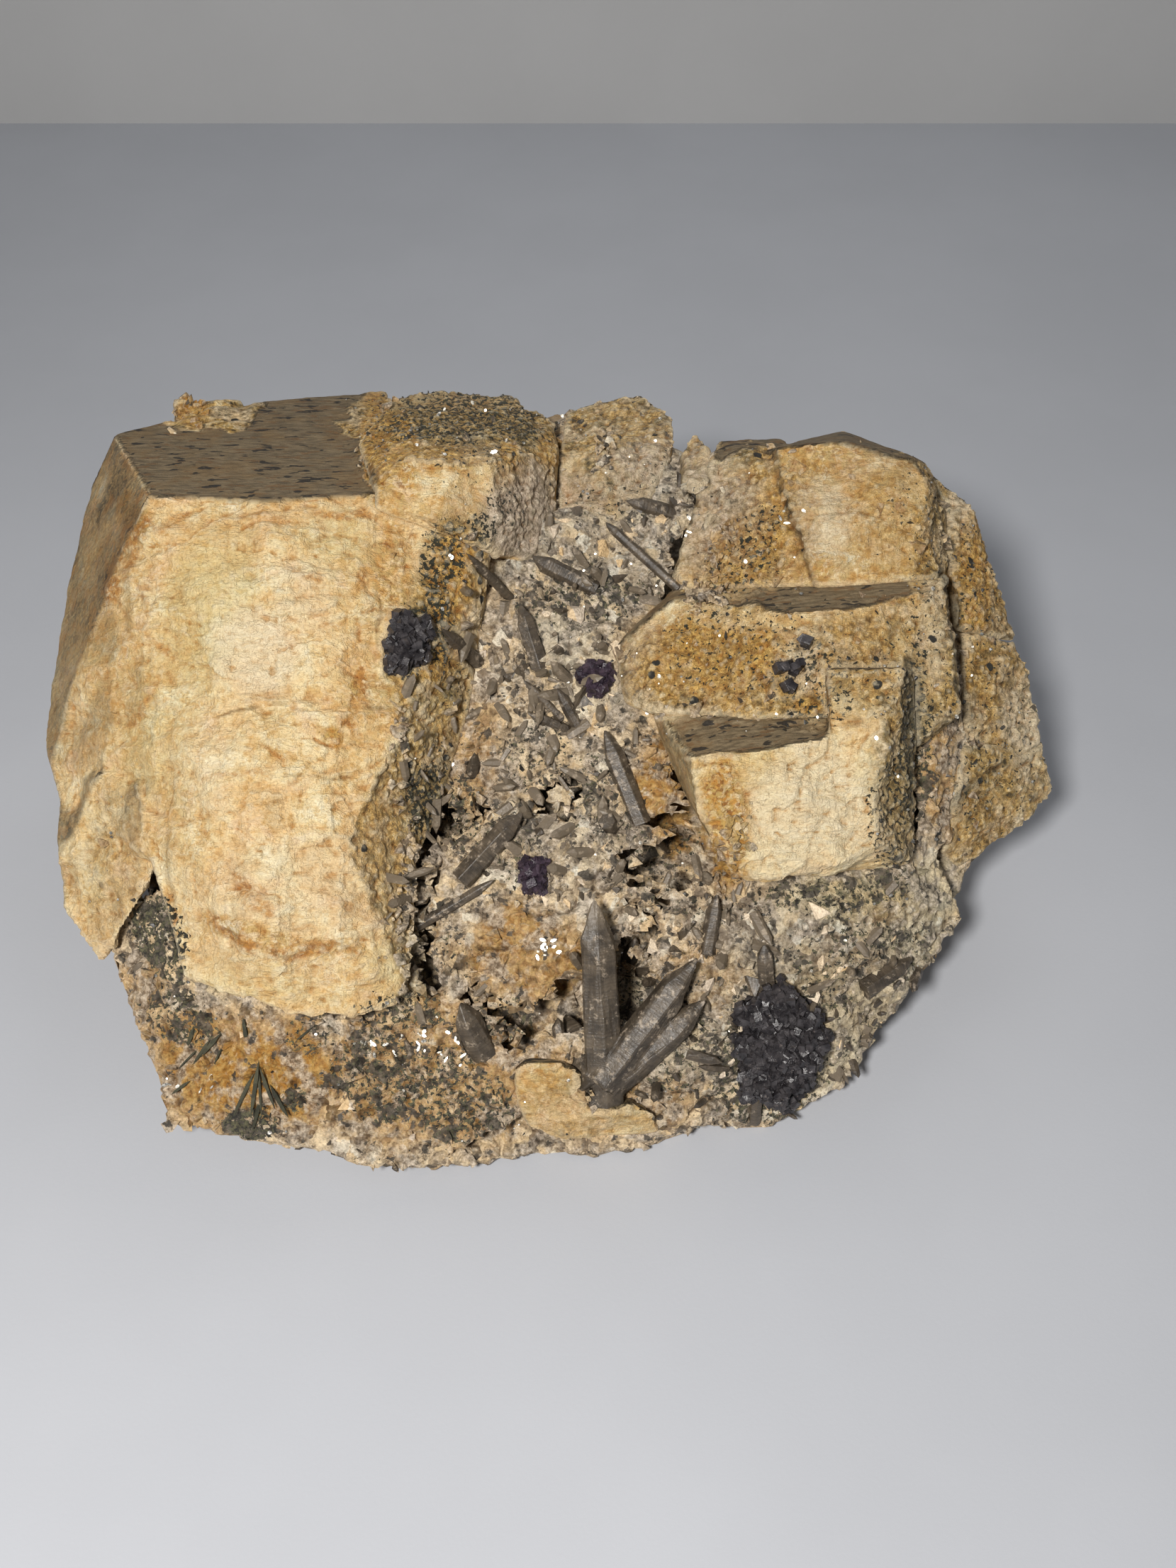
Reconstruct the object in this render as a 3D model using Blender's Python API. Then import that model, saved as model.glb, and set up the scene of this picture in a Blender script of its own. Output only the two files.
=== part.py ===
"""Fluorite on matrix: a hand specimen of granite pegmatite, with large cream feldspar crystals, smoky
quartz crystals and small, very dark purple fluorite crystals.

The specimen is described as it looks from its showing side. A corner is (across, up, out) in
millimetres. Across and up are where it appears on the plane through the specimen's middle, from a
viewpoint VIEW_DISTANCE in front of that plane. Out is how far it stands out of the plane, towards the
viewpoint. The plane leans back by SHOWN_TILT_DEG, and the specimen stands on a flat underside.
"""

import itertools
import math
import random

import bmesh
import bpy
from mathutils import Matrix, Vector, noise
from mathutils.bvhtree import BVHTree

MM = 0.001

# Driving dimensions, in millimetres and degrees
VIEW_DISTANCE = 248.0
SHOWN_TILT_DEG = 45.0
UNDERSIDE = -42.0  # height of the flat underside below the specimen's middle
FIT_GAP = 0.35  # clearance between neighbouring pieces
MATRIX_VOXEL = 1.7
MATRIX_TRIANGLES = 1500
MATRIX_LUMP = 11.0  # size of the lumps of the broken matrix
MATRIX_LUMP_HEIGHT = 1.5
MATRIX_GRAIN = 4.5
MATRIX_GRAIN_HEIGHT = 0.9
CLEAVAGE_STEP = 9.0  # spacing of the facets on a broken feldspar face
CLEAVAGE_HEIGHT = 1.1
QUARTZ_SIDES = 6
SPRAY_SEED = 40
QUARTZ_BURIED = 2.5  # length of a quartz crystal's foot inside the matrix
QUARTZ_LIFT = 0.7  # how much higher all quartz crystals sit than their lists say

TILT = math.radians(SHOWN_TILT_DEG)
ACROSS = Vector((1.0, 0.0, 0.0))
UP = Vector((0.0, math.sin(TILT), math.cos(TILT)))
OUT = Vector((0.0, -math.cos(TILT), math.sin(TILT)))

# Feldspar crystals: each is one or more convex blocks, grown together
LEFT_CRYSTAL = [
    [  # upper block: flat top and left faces, domed broken front
        (-69.5, 46, 4), (-60, 45.5, 5), (-51.5, 45, 6), (-42, 45.5, 5), (-33.5, 46, 4), (-15, 43, -1),
        (-16.5, 32, -6), (-19.5, 27, -6), (-19.5, 10, -4), (-23.5, 2, -2), (-27, -12, 2),
        (-75, 55.5, -18), (-64, 57.5, -26), (-54, 60.5, -33), (-42.5, 61.5, -36), (-32.5, 62, -38),
        (-79, 47, -21), (-81.5, 35.5, -18), (-83.5, 25.5, -14), (-84.8, 15, -9), (-86.3, 7, -7),
        (-73, 40, 3), (-76.5, 31, 2), (-79.5, 23, 0), (-83.5, 12, -3), (-85.5, 3, -4), (-84, -3, -3),
        (-54, 38, 8), (-54, 23, 12), (-54, 8, 15), (-54, -10, 18), (-71, 12, 9), (-40, 23, 11),
        (-39.5, 5, 14), (-39.5, -12, 16), (-68, -12, 11), (-76, -11, 3), (-30, 33, 6),
        (-70, 50, -40), (-76, 30, -34), (-76, 8, -26), (-50, 55, -48), (-30, 56, -46), (-20, 40, -36),
        (-70, -8, -16), (-30, -8, -18),
    ],
    [  # lower block, hanging over the lobe of matrix
        (-72, 0, 8), (-54, -8, 18), (-39, -8, 16), (-28, -6, 3), (-27.5, -14, 4), (-28.5, -25, 9),
        (-29.5, -32, 12), (-31, -35, 13), (-37, -36.5, 15), (-45, -37.3, 16), (-53, -34.5, 17),
        (-59.5, -32.5, 16), (-64, -31, 14), (-65.3, -26.5, 13), (-67, -20.5, 11), (-69, -13, 9),
        (-54, -22, 20), (-40, -22, 18), (-66, -8, -6), (-60, -24, 0), (-33, -26, 0),
    ],
    [  # flap on the left, beside the notch
        (-68.5, -12, 8), (-70, -16, 7), (-72.5, -20, 5), (-75.5, -25, 3), (-77.5, -27.5, 1),
        (-79, -23, -1), (-83, -20, -3), (-84, -13, -3), (-84, -2, -4), (-77, 2, 5), (-70, 0, 8),
        (-74, -20, -14), (-76, -5, -20), (-68, -8, -12),
    ],
    [  # small lump on the back edge of the top face
        (-66, 60.8, -30), (-61.5, 60.4, -30), (-55, 60.9, -34), (-66.2, 56, -25), (-56, 57, -30),
        (-64.5, 58, -38), (-56, 58, -40),
    ],
]
KNOB_CRYSTAL = [
    [
        (-33.8, 44, 5.6), (-33.5, 50, 4), (-28, 51, 5.5), (-21.5, 50.5, 6), (-15.5, 51, 3.5),
        (-14, 43, 2.5), (-36.5, 54, -14), (-31, 60.8, -32), (-12.5, 61.5, -36), (-5, 57, -26),
        (-5, 52, -15), (-14, 36, -2), (-6, 35.5, -13), (-7, 46, -13), (-21.5, 62.3, -38),
        (-30, 40, -20), (-10, 40, -32), (-25, 42, 7), (-17, 38, 2),
    ],
]
TOP_CRYSTAL = [
    [
        (-3, 59, -34), (5, 61.5, -37), (9, 61.8, -36), (13, 58.5, -28), (14, 54, -22), (10, 45, -16),
        (2, 40, -13), (-4.5, 40, -15), (-4.5, 52, -20), (3, 52, -18), (5, 44, -36), (-2, 44, -38),
    ],
]
TOP_LUMP = [
    [
        (14.5, 52, -17), (17, 55.7, -18), (19.3, 53, -15), (19, 47.5, -11), (16, 46.5, -11), (15, 49, -13),
        (18, 50, -24), (15.5, 47, -22),
    ],
]
UPPER_RIGHT_CRYSTAL = [
    [  # square block with a flat front
        (31.5, 46, -4), (36.5, 31, -1), (55, 31.5, -1), (54, 48, -3), (52, 51.5, -5), (40.5, 54.5, -6),
        (30, 53.5, -8), (44, 42, 0), (40.5, 56, -22), (53.5, 51, -18), (56.5, 45.5, -16), (57, 32, -14),
        (34, 30, -16), (26, 52, -24), (54, 34, -26),
    ],
    [  # rusty slope at its left
        (33, 49, -6), (37, 30.5, -2), (25, 52.5, -10), (19, 50.5, -12), (13, 31, -9), (25, 29.5, -5),
        (24, 40, -7), (21, 54.5, -20), (31, 55, -20), (20, 38, -20), (34, 30, -16),
    ],
]
MIDDLE_CRYSTAL = [
    [
        (13.5, 29.5, -3), (25, 28.7, 2), (31.5, 26.8, 6), (36, 26.6, 6.5), (41.5, 27.6, 6), (54, 30.5, 2.5),
        (57.3, 32, 1), (58.8, 12, 3), (35, 9.5, 7), (24, 8.5, 6), (14, 10, 3), (6, 13, -1), (4.5, 22, -4),
        (40, 18, 9), (57, 33.2, -8), (36, 31.5, -12), (14, 31, -11), (56, 8, -18), (8, 14, -16),
        (30, 4, -12), (52, 6, 2),
    ],
]
LOWER_RIGHT_CRYSTAL = [
    [  # lower block, with a wide ledge on top
        (16.5, 3.5, 12), (25, 4.8, 13.5), (38, 6.8, 14), (46.3, 6, 13.5), (45.8, -10.5, 12),
        (39.5, -12.5, 13), (29, -15, 13), (23.5, -13.3, 12), (20, -8.5, 12), (18, -2.5, 12),
        (10.5, 11.5, 0), (20, 11.2, 1), (35, 12, 4), (51.8, 9, 3), (51.8, -12.3, 2), (33, -4, 15),
        (22, -12, -4), (48, -12, -8), (14, 2, -6), (50, 10, -10),
    ],
    [  # tab that stands up at the right
        (38, 6, 14), (38, 18, 11.5), (50.5, 18.3, 11.5), (47.5, 12, 13), (46, 2, 13.5), (39, -2, 13),
        (51.8, 17.5, 4), (51.8, 2, 3), (40, 17, -4), (50, 16, -6), (44, 0, -4),
    ],
]
RIGHT_UPPER_PLATE = [
    [
        (54, 49, -19), (58, 47, -18), (61.3, 43.5, -17), (63, 35, -17), (66, 27, -17), (68, 22.8, -17),
        (58.8, 24.5, -11), (58.3, 32, -10), (57, 38, -13), (56, 44, -28), (62, 34, -30), (64, 24, -28),
        (56, 26, -24),
    ],
]
RIGHT_MIDDLE_PLATE = [
    [
        (59.5, 24, -11), (67.8, 22, -14), (70.3, 18, -16), (71.3, 12, -17), (71.8, 6.5, -17), (64, 10, -12),
        (59.8, 10.5, -8), (62, 20, -28), (67, 6, -28), (60, 5, -18), (66, 3, -15),
    ],
]
RIGHT_LOWER_PLATE = [
    [
        (66, 5, -14), (72, 7, -18), (74, 2.2, -19), (73.8, -1.5, -20), (71, -5, -19), (64, -10.5, -16),
        (58.5, -13.2, -14), (56, -11, -10), (58.5, -3, -9), (59.5, 6, -8), (66, -2, -26), (60, -8, -24),
    ],
]
BOTTOM_CRYSTAL = [
    [
        (-11.4, -45.2, 8), (-9.5, -44, 9), (-4.5, -44.2, 9.8), (-2, -47.5, 9.8), (3.4, -50.2, 9),
        (11, -53, 6.5), (12, -55.6, 4), (4, -56.6, 5.5), (-3.5, -56.8, 6), (-9.5, -55, 6.5),
        (-11.6, -50, 7), (-9, -45, 0), (2, -48, 0), (9, -54, 0), (-4, -54, 0),
    ],
]

# Lumps that make up the matrix, as they are seen
MATRIX_LUMPS = [
    [  # lobe below the left crystal
        (-72, -31, 0), (-71.2, -38, 3), (-70, -45.5, 5), (-67.5, -52.5, 6), (-61, -56.8, 6.5),
        (-50.5, -59.8, 6.5), (-42, -61, 6.5), (-31.5, -62, 6.5), (-20, -60.5, 6.5), (-13.5, -57, 6),
        (-10.5, -51, 5), (-12, -42, 8), (-20, -34, 8.5), (-36, -32, 8), (-52, -30, 8), (-65, -26, 7),
        (-68, -14, 4), (-76, -22, -5), (-30, -46, 10), (-50, -46, 10),
    ],
    [  # bottom, between the lobe and the right end
        (-11, -51, 4), (-8, -53.5, 5), (3.5, -54.8, 2.5), (9, -55, 0.5), (19, -56, -1), (30, -56, -2.5),
        (40.5, -53, -4.5), (43.5, -50, -5), (44.5, -43, -5), (48, -38, -6), (-12, -40, 7), (5, -42, 8),
        (25, -38, 5), (38, -34, 2),
    ],
    [  # right end
        (43.5, -43.5, -4), (49.5, -37.5, -6), (54.3, -34, -8), (55.8, -27.5, -9), (60, -21, -10),
        (58, -16, -10), (54.5, -11.5, -8), (47, -13, 3), (22, -14, 5), (8, -16, 4), (8, -34, 7), (25, -36, 6),
        (36, -34, 4), (46, -24, 1),
    ],
    [  # rise at the foot of the valley
        (-28, -20, 4), (-29, -32, 7), (-14, -40, 7.5), (6, -38, 6.5), (12, -18, 4), (6, -6, 2), (-14, -4, 1),
        (-24, -8, 0), (-6, -22, 7),
    ],
    [  # valley
        (-16, 38, -7), (-20, 28, -7), (-23, 10, -5), (-26, -6, -1), (-12, -10, 1), (6, -10, 2), (22, -8, 1),
        (16, 8, -3), (6, 20, -6), (12, 30, -10), (14, 46, -16), (4, 46, -17), (-6, 40, -15), (-6, 24, -6),
    ],
    [  # upper end of the valley
        (-10, 60, -38), (8, 60.5, -38), (12, 58, -30), (15, 52, -21), (18, 44, -16), (14, 32, -10),
        (-4, 32, -9), (-8, 50, -22),
    ],
    [  # right side, behind the plates
        (52, 48, -20), (57, 44, -20), (62, 30, -21), (66.5, 18, -20), (69, 4, -21), (63, -8.5, -18),
        (57, -12, -14), (52, -10, -2), (54, 14, -2), (50, 36, -10),
    ],
]
# The body behind them. These are true places in millimetres: x, y and height above the middle.
MATRIX_BODY = [
    (-72, 42, 8), (-62, 66, 6), (-42, 78, 10), (-14, 80, 8), (12, 77, 8), (30, 66, 14), (52, 58, 12),
    (68, 38, 2), (74, 18, -12), (66, 2, -22), (56, -12, -30), (40, -30, -38), (28, -36, -42),
    (-8, -44, -40), (-34, -45, -39), (-58, -38, -36), (-72, -8, -20), (-80, 8, -6), (-74, 20, -26),
    (-58, -30, -45), (-34, -40, -45), (-6, -38, -45), (28, -32, -45), (50, -6, -45), (58, 24, -45),
    (40, 52, -45), (6, 68, -45), (-34, 66, -45), (-62, 36, -45), (-66, 4, -45), (-50, 72, -18),
    (6, 78, -20), (56, 48, -22),
]

# Quartz crystals: foot and tip as (across, up, lift above the matrix), width, and length of the point
# as a share of the whole
QUARTZ_SPRAY = [
    ((2.8, -48.2, 1.2), (1.0, -18.0, 6.5), 6.8, 0.24),
    ((3.6, -45.5, 1.0), (17.6, -27.6, 4.0), 6.2, 0.3),
    ((3.4, -47.8, 1.0), (18.9, -34.3, 3.0), 6.0, 0.28),
    ((0.2, -46.2, -0.6), (-3.6, -36.6, 3.2), 5.0, 0.3),
    ((-0.6, -33.6, -1.0), (-10.2, -29.6, 1.6), 4.6, 0.35),
]
QUARTZ_CRYSTALS = {
    "quartz_beside_spray": ((8.5, -29.5, -1.0), (17.0, -22.0, 2.5), 2.8, 0.35),
    "quartz_upright": ((19.4, -24.5, -1.0), (20.5, -17.5, 2.0), 3.0, 0.35),
    "quartz_behind_spray": ((6.6, -28.5, -1.0), (7.6, -24.3, 2.0), 3.4, 0.5),
    "quartz_valley_upper": ((-8.3, 20.5, -1.0), (-10.8, 28.6, 2.0), 3.6, 0.35),
    "quartz_valley_dark": ((-0.8, 32.0, -0.5), (-9.0, 36.2, 1.2), 3.6, 0.3),
    "quartz_valley_slender": ((-13.0, 30.2, -0.5), (-19.5, 36.8, 1.2), 1.8, 0.35),
    "quartz_by_left_crystal": ((-18.6, 20.4, -0.5), (-23.5, 24.8, 1.0), 2.6, 0.4),
    "quartz_needle": ((12.6, 32.6, 1.2), (2.6, 41.8, 3.0), 1.8, 0.15),
    "quartz_under_top": ((11.5, 43.5, -1.0), (6.0, 45.0, 1.5), 3.4, 0.4),
    "quartz_middle_one": ((-5.8, 12.0, -0.5), (-10.4, 16.6, 1.5), 1.8, 0.4),
    "quartz_middle_two": ((-2.0, 9.8, -0.5), (-5.0, 15.3, 2.0), 2.2, 0.4),
    "quartz_middle_three": ((-4.8, 9.2, -1.0), (-9.8, 11.4, 1.0), 2.2, 0.4),
    "quartz_long": ((7.6, -4.0, -0.5), (2.6, 8.6, 2.0), 3.8, 0.3),
    "quartz_long_lower": ((12.2, -10.2, 0.0), (7.4, -4.6, 1.2), 1.3, 0.4),
    "quartz_tall_left": ((-19.0, -5.4, -0.5), (-18.0, 5.0, 2.0), 3.6, 0.3),
    "quartz_diagonal": ((-18.6, -13.4, -0.5), (-10.4, -4.6, 2.2), 4.4, 0.35),
    "quartz_round": ((-17.0, -4.8, -1.0), (-17.8, -3.0, 1.6), 3.0, 0.6),
    "quartz_short": ((3.6, -6.8, -0.5), (6.6, -11.2, 1.6), 3.0, 0.35),
    "quartz_slender_lower": ((-25.0, -21.4, -0.5), (-14.8, -15.2, 1.2), 2.0, 0.3),
    "quartz_stub": ((-26.5, -18.5, -1.5), (-27.0, -14.0, 2.5), 6.0, 0.5),
    "quartz_below_left_crystal": ((-17.5, -41.0, -1.0), (-20.5, -34.8, 2.0), 5.0, 0.4),
    "quartz_pale": ((28.5, -32.5, -0.5), (28.0, -25.5, 2.5), 3.4, 0.3),
    "quartz_foot": ((26.6, -52.3, -0.5), (26.8, -49.2, 1.5), 2.4, 0.4),
    "quartz_right_end": ((45.8, -31.6, -0.5), (51.6, -27.6, 1.6), 3.8, 0.4),
}
# Fluorite clusters: middle of the patch they cover, its two half widths, how many crystals, their size
FLUORITE_CLUSTERS = {
    "fluorite_large_cluster": ((30.3, -41.6), (6.2, 8.6), 24, 3.7),
    "fluorite_left_cluster": ((-29.0, 22.8), (2.8, 4.2), 9, 2.6),
    "fluorite_purple_centre": ((1.2, 16.6), (2.4, 1.8), 4, 2.4),
    "fluorite_purple_lower": ((-8.6, -14.4), (2.0, 1.9), 4, 2.4),
    "fluorite_beads_upper": ((34.6, 22.6), (0.7, 0.6), 2, 1.6),
    "fluorite_beads_middle": ((32.6, 18.6), (2.4, 0.9), 5, 1.7),
    "fluorite_beads_lower": ((32.2, 15.4), (0.8, 0.6), 2, 1.6),
}


def spot(across, up, out):
    """The true place, in metres, of a corner that is given as it is seen."""
    spread = 1.0 - out / VIEW_DISTANCE
    return MM * (across * spread * ACROSS + up * spread * UP + out * OUT)


def new_object(name, bm):
    """An object with the shape of a bmesh, which is used up."""
    mesh = bpy.data.meshes.new(name)
    bm.to_mesh(mesh)
    bm.free()
    obj = bpy.data.objects.new(name, mesh)
    bpy.context.scene.collection.objects.link(obj)
    return obj


def settle(obj):
    """Gives an object the mesh that its modifiers make, and drops them."""
    graph = bpy.context.evaluated_depsgraph_get()
    mesh = bpy.data.meshes.new_from_object(obj.evaluated_get(graph))
    obj.modifiers.clear()
    obj.data = mesh


def combine(obj, tool, operation):
    """Joins a closed shape to an object, or cuts it out of the object."""
    boolean = obj.modifiers.new("combine", "BOOLEAN")
    boolean.operation = operation
    boolean.object = tool
    boolean.solver = "MANIFOLD"
    settle(obj)


def hull(points):
    """The convex block around some points, as a bmesh with its flat faces whole."""
    bm = bmesh.new()
    for point in points:
        bm.verts.new(point)
    made = bmesh.ops.convex_hull(bm, input=bm.verts)
    loose = {v for v in made["geom_interior"] + made["geom_unused"] if isinstance(v, bmesh.types.BMVert)}
    bmesh.ops.delete(bm, geom=list(loose), context="VERTS")
    bmesh.ops.dissolve_limit(bm, angle_limit=math.radians(1.5), verts=bm.verts, edges=bm.edges)
    bmesh.ops.recalc_face_normals(bm, faces=bm.faces)
    return bm


def largest_body(obj):
    """Leaves only the largest connected body of an object, in triangles."""
    bm = bmesh.new()
    bm.from_mesh(obj.data)
    bmesh.ops.remove_doubles(bm, verts=bm.verts, dist=0.0002 * MM)
    bodies = []
    waiting = set(bm.faces)
    while waiting:
        body = [waiting.pop()]
        for face in body:
            for other in {f for edge in face.edges for f in edge.link_faces} & waiting:
                waiting.remove(other)
                body.append(other)
        bodies.append(body)
    bodies.sort(key=len)
    for body in bodies[:-1]:
        bmesh.ops.delete(bm, geom=body, context="FACES")
    bmesh.ops.triangulate(bm, faces=bm.faces)
    bm.to_mesh(obj.data)
    bm.free()


def room_for(obj):
    """A cutter: the shape of an object, larger all round by the gap that it keeps to its neighbours.
    A cluster of fluorite gets one convex room."""
    if obj.name in FLUORITE_CLUSTERS:
        bm = hull([v.co for v in obj.data.vertices])
    else:
        bm = bmesh.new()
        bm.from_mesh(obj.data)
    bm.normal_update()
    gap = FIT_GAP * MM
    moves = [v.normal * min(v.calc_shell_factor(), 2.5) * gap for v in bm.verts]
    for vert, move in zip(bm.verts, moves):
        vert.co += move
    cutter = new_object("room_for_" + obj.name, bm)
    cutter.hide_render = True
    cutter.display_type = "WIRE"
    return cutter


def boxes_meet(one, other):
    """Whether the boxes round two objects meet."""
    ends = []
    for obj in (one, other):
        places = [v.co for v in obj.data.vertices]
        ends.append([(min(p[i] for p in places), max(p[i] for p in places)) for i in range(3)])
    return all(a[0] <= b[1] and b[0] <= a[1] for a, b in zip(*ends))


def make_room(obj, rooms):
    """Cuts the rooms of its neighbours out of an object."""
    for room in rooms:
        if boxes_meet(obj, room):
            combine(obj, room, "DIFFERENCE")
    largest_body(obj)


def material(name, color, roughness, metallic=0.0):
    """A plain material of one colour."""
    made = bpy.data.materials.new(name)
    made.use_nodes = True
    shader = made.node_tree.nodes["Principled BSDF"]
    shader.inputs["Base Color"].default_value = (*color, 1.0)
    shader.inputs["Roughness"].default_value = roughness
    shader.inputs["Metallic"].default_value = metallic
    return made


def slice_broken_faces(bm, broken, step):
    """Divides the broken faces of a crystal by planes across, up and out, a step apart."""
    for axis in (ACROSS, UP, OUT):
        places = [v.co.dot(axis) for v in bm.verts]
        at = math.ceil(min(places) / step) * step
        while at < max(places):
            faces = [f for f in bm.faces if broken(f.normal)]
            edges = {e for f in faces for e in f.edges}
            verts = {v for f in faces for v in f.verts}
            parts = [*faces, *edges, *verts]
            bmesh.ops.bisect_plane(bm, geom=parts, dist=0.01 * MM, plane_co=axis * at, plane_no=axis)
            at += step
        bm.normal_update()


def roughen(bm, broken, height):
    """Moves the corners of the broken faces, and leaves the crystal's natural faces flat."""
    moves = {}
    for vert in bm.verts:
        faces_out = [f.normal for f in vert.link_faces if broken(f.normal)]
        natural = [f.normal for f in vert.link_faces if not broken(f.normal)]
        if not faces_out:
            continue
        way = sum(faces_out, Vector()).normalized()
        for normal in natural:
            way -= way.dot(normal) * normal
        moves[vert] = way * height * noise.fractal(vert.co / (CLEAVAGE_STEP * MM), 1.0, 2.0, 2)
    for vert, move in moves.items():
        vert.co += move


def feldspar(name, blocks, facing=0.62):
    """A feldspar crystal from its blocks, with its front broken along the cleavage."""
    pieces = [new_object("block", hull([spot(*corner) for corner in corners])) for corners in blocks]
    crystal = joined(name, pieces)

    def broken(normal):
        return normal.dot(OUT) > facing

    bm = bmesh.new()
    bm.from_mesh(crystal.data)
    bm.normal_update()
    slice_broken_faces(bm, broken, CLEAVAGE_STEP * MM)
    roughen(bm, broken, CLEAVAGE_HEIGHT * MM)
    bmesh.ops.triangulate(bm, faces=bm.faces)
    bm.to_mesh(crystal.data)
    bm.free()
    return crystal


def matrix_rock():
    """The rock that carries the crystals, before room for them is cut."""
    bm = bmesh.new()
    lumps = [[spot(*corner) for corner in lump] for lump in MATRIX_LUMPS]
    lumps.append([MM * Vector(corner) for corner in MATRIX_BODY])
    for lump in lumps:
        piece = bpy.data.meshes.new("lump")
        shape = hull(lump)
        shape.to_mesh(piece)
        shape.free()
        bm.from_mesh(piece)
        bpy.data.meshes.remove(piece)
    rock = new_object("matrix", bm)
    remesh = rock.modifiers.new("one skin", "REMESH")
    remesh.mode = "VOXEL"
    remesh.voxel_size = MATRIX_VOXEL * MM
    settle(rock)
    crumble(rock.data)
    decimate = rock.modifiers.new("fewer triangles", "DECIMATE")
    rock.data.calc_loop_triangles()
    decimate.ratio = MATRIX_TRIANGLES / len(rock.data.loop_triangles)
    settle(rock)
    flatten_underside(rock)
    return rock


def crumble(mesh):
    """Breaks up a smooth skin into lumps and grains."""
    bm = bmesh.new()
    bm.from_mesh(mesh)
    bm.normal_update()
    for vert in bm.verts:
        lumps = MATRIX_LUMP_HEIGHT * noise.fractal(vert.co / (MATRIX_LUMP * MM), 1.0, 2.0, 2)
        cell = noise.voronoi(vert.co / (MATRIX_GRAIN * MM))[0]
        grains = MATRIX_GRAIN_HEIGHT * (cell[1] - cell[0] - 0.3)
        vert.co += vert.normal * MM * (lumps + grains)
    bm.to_mesh(mesh)
    bm.free()


def flatten_underside(rock):
    """Cuts the rock off level, so that it stands on a flat underside."""
    side = 300.0
    bm = bmesh.new()
    bmesh.ops.create_cube(bm, size=side * MM)
    bmesh.ops.translate(bm, verts=bm.verts, vec=(0.0, 0.0, (UNDERSIDE - 0.5 * side) * MM))
    ground = new_object("ground", bm)
    combine(rock, ground, "DIFFERENCE")
    bpy.data.objects.remove(ground)


def surface_finder(objects):
    """A function that gives how far out the surface is at a place across and up, or beside it."""
    trees = []
    for obj in objects:
        bm = bmesh.new()
        bm.from_mesh(obj.data)
        trees.append(BVHTree.FromBMesh(bm))
        bm.free()
    eye = OUT * VIEW_DISTANCE * MM

    def surface(across, up):
        aim = spot(across, up, 0.0)
        hits = [tree.ray_cast(eye, (aim - eye).normalized()) for tree in trees]
        seen = [hit[0].dot(OUT) / MM for hit in hits if hit[0]]
        if seen:
            return max(seen)
        beside = min((tree.find_nearest(aim) for tree in trees), key=lambda found: found[3])
        return beside[0].dot(OUT) / MM

    return surface


def quartz_shape(foot, tip, width, point_share, seed):
    """A six-sided crystal that tapers slightly and ends in an uneven point, as a bmesh."""
    dice = random.Random(seed)
    axis = tip - foot
    length = axis.length
    aim = axis.to_track_quat("Z", "Y").to_matrix().to_4x4()
    place = Matrix.Translation(foot) @ aim @ Matrix.Rotation(dice.uniform(0.0, 1.0), 4, "Z")
    points = []
    for ring_at, ring_width in ((-QUARTZ_BURIED * MM, 0.92), (length * (1.0 - point_share), 0.86)):
        for side in range(QUARTZ_SIDES):
            angle = math.tau * side / QUARTZ_SIDES
            radius = 0.5 * width * MM * ring_width * dice.uniform(0.9, 1.1)
            rise = ring_at + (dice.uniform(-0.06, 0.06) * length if ring_at > 0.0 else 0.0)
            points.append(place @ Vector((radius * math.cos(angle), radius * math.sin(angle), rise)))
    lean = 0.06 * width * MM
    points.append(place @ Vector((lean, 0.0, length)))
    points.append(place @ Vector((-lean, lean, length * 0.985)))
    return hull(points)


def quartz_on(surface, foot, tip, width, point_share, seed):
    """A quartz crystal whose foot and tip are lifted above the surface that carries it."""
    ends = [
        spot(across, up, surface(across, up) + lift + QUARTZ_LIFT) for across, up, lift in (foot, tip)
    ]
    return quartz_shape(ends[0], ends[1], width, point_share, seed)


def joined(name, pieces):
    """One object from pieces that have grown through each other, which are used up."""
    whole = pieces[0]
    for piece in pieces[1:]:
        combine(whole, piece, "UNION")
        bpy.data.objects.remove(piece)
    largest_body(whole)
    whole.name = name
    return whole


def fluorite_cube(middle, size, dice):
    """A small fluorite crystal: a cube turned at random."""
    turn = Matrix.Rotation(dice.uniform(0.0, math.tau), 3, Vector(dice.choices((-1.0, 0.4, 1.0), k=3)))
    corners = itertools.product((-0.5, 0.5), repeat=3)
    return hull([middle + turn @ Vector(corner) * size for corner in corners])


def fluorite_cluster(name, surface, middle, half_widths, count, size):
    """Fluorite crystals grown together over a patch of the surface."""
    dice = random.Random(name)
    cubes = []
    for number in range(count):
        reach = math.sqrt((number + 0.2) / count)
        angle = number * math.radians(137.5)
        across = middle[0] + half_widths[0] * reach * math.cos(angle)
        up = middle[1] + half_widths[1] * reach * math.sin(angle)
        heap = (1.0 - reach) * 0.35 * min(half_widths)
        one_size = size * dice.uniform(0.75, 1.25)
        place = spot(across, up, surface(across, up) + 0.15 * one_size + heap)
        cubes.append(new_object("cube", fluorite_cube(place, one_size * MM, dice)))
    return joined(name, cubes)


def stand_at_origin(objects):
    """Moves everything so that the middle of the underside of its box is the origin."""
    places = [v.co for obj in objects for v in obj.data.vertices]
    low = [min(p[i] for p in places) for i in range(3)]
    high = [max(p[i] for p in places) for i in range(3)]
    shift = Vector((-0.5 * (low[0] + high[0]), -0.5 * (low[1] + high[1]), -low[2]))
    for obj in objects:
        obj.data.transform(Matrix.Translation(shift))


def finish(obj, look):
    """Gives an object its material and moves its origin to its own middle."""
    obj.data.materials.clear()
    obj.data.materials.append(look)
    places = [v.co for v in obj.data.vertices]
    middle = sum(places, Vector()) / len(places)
    obj.data.transform(Matrix.Translation(-middle))
    obj.location = middle


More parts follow.
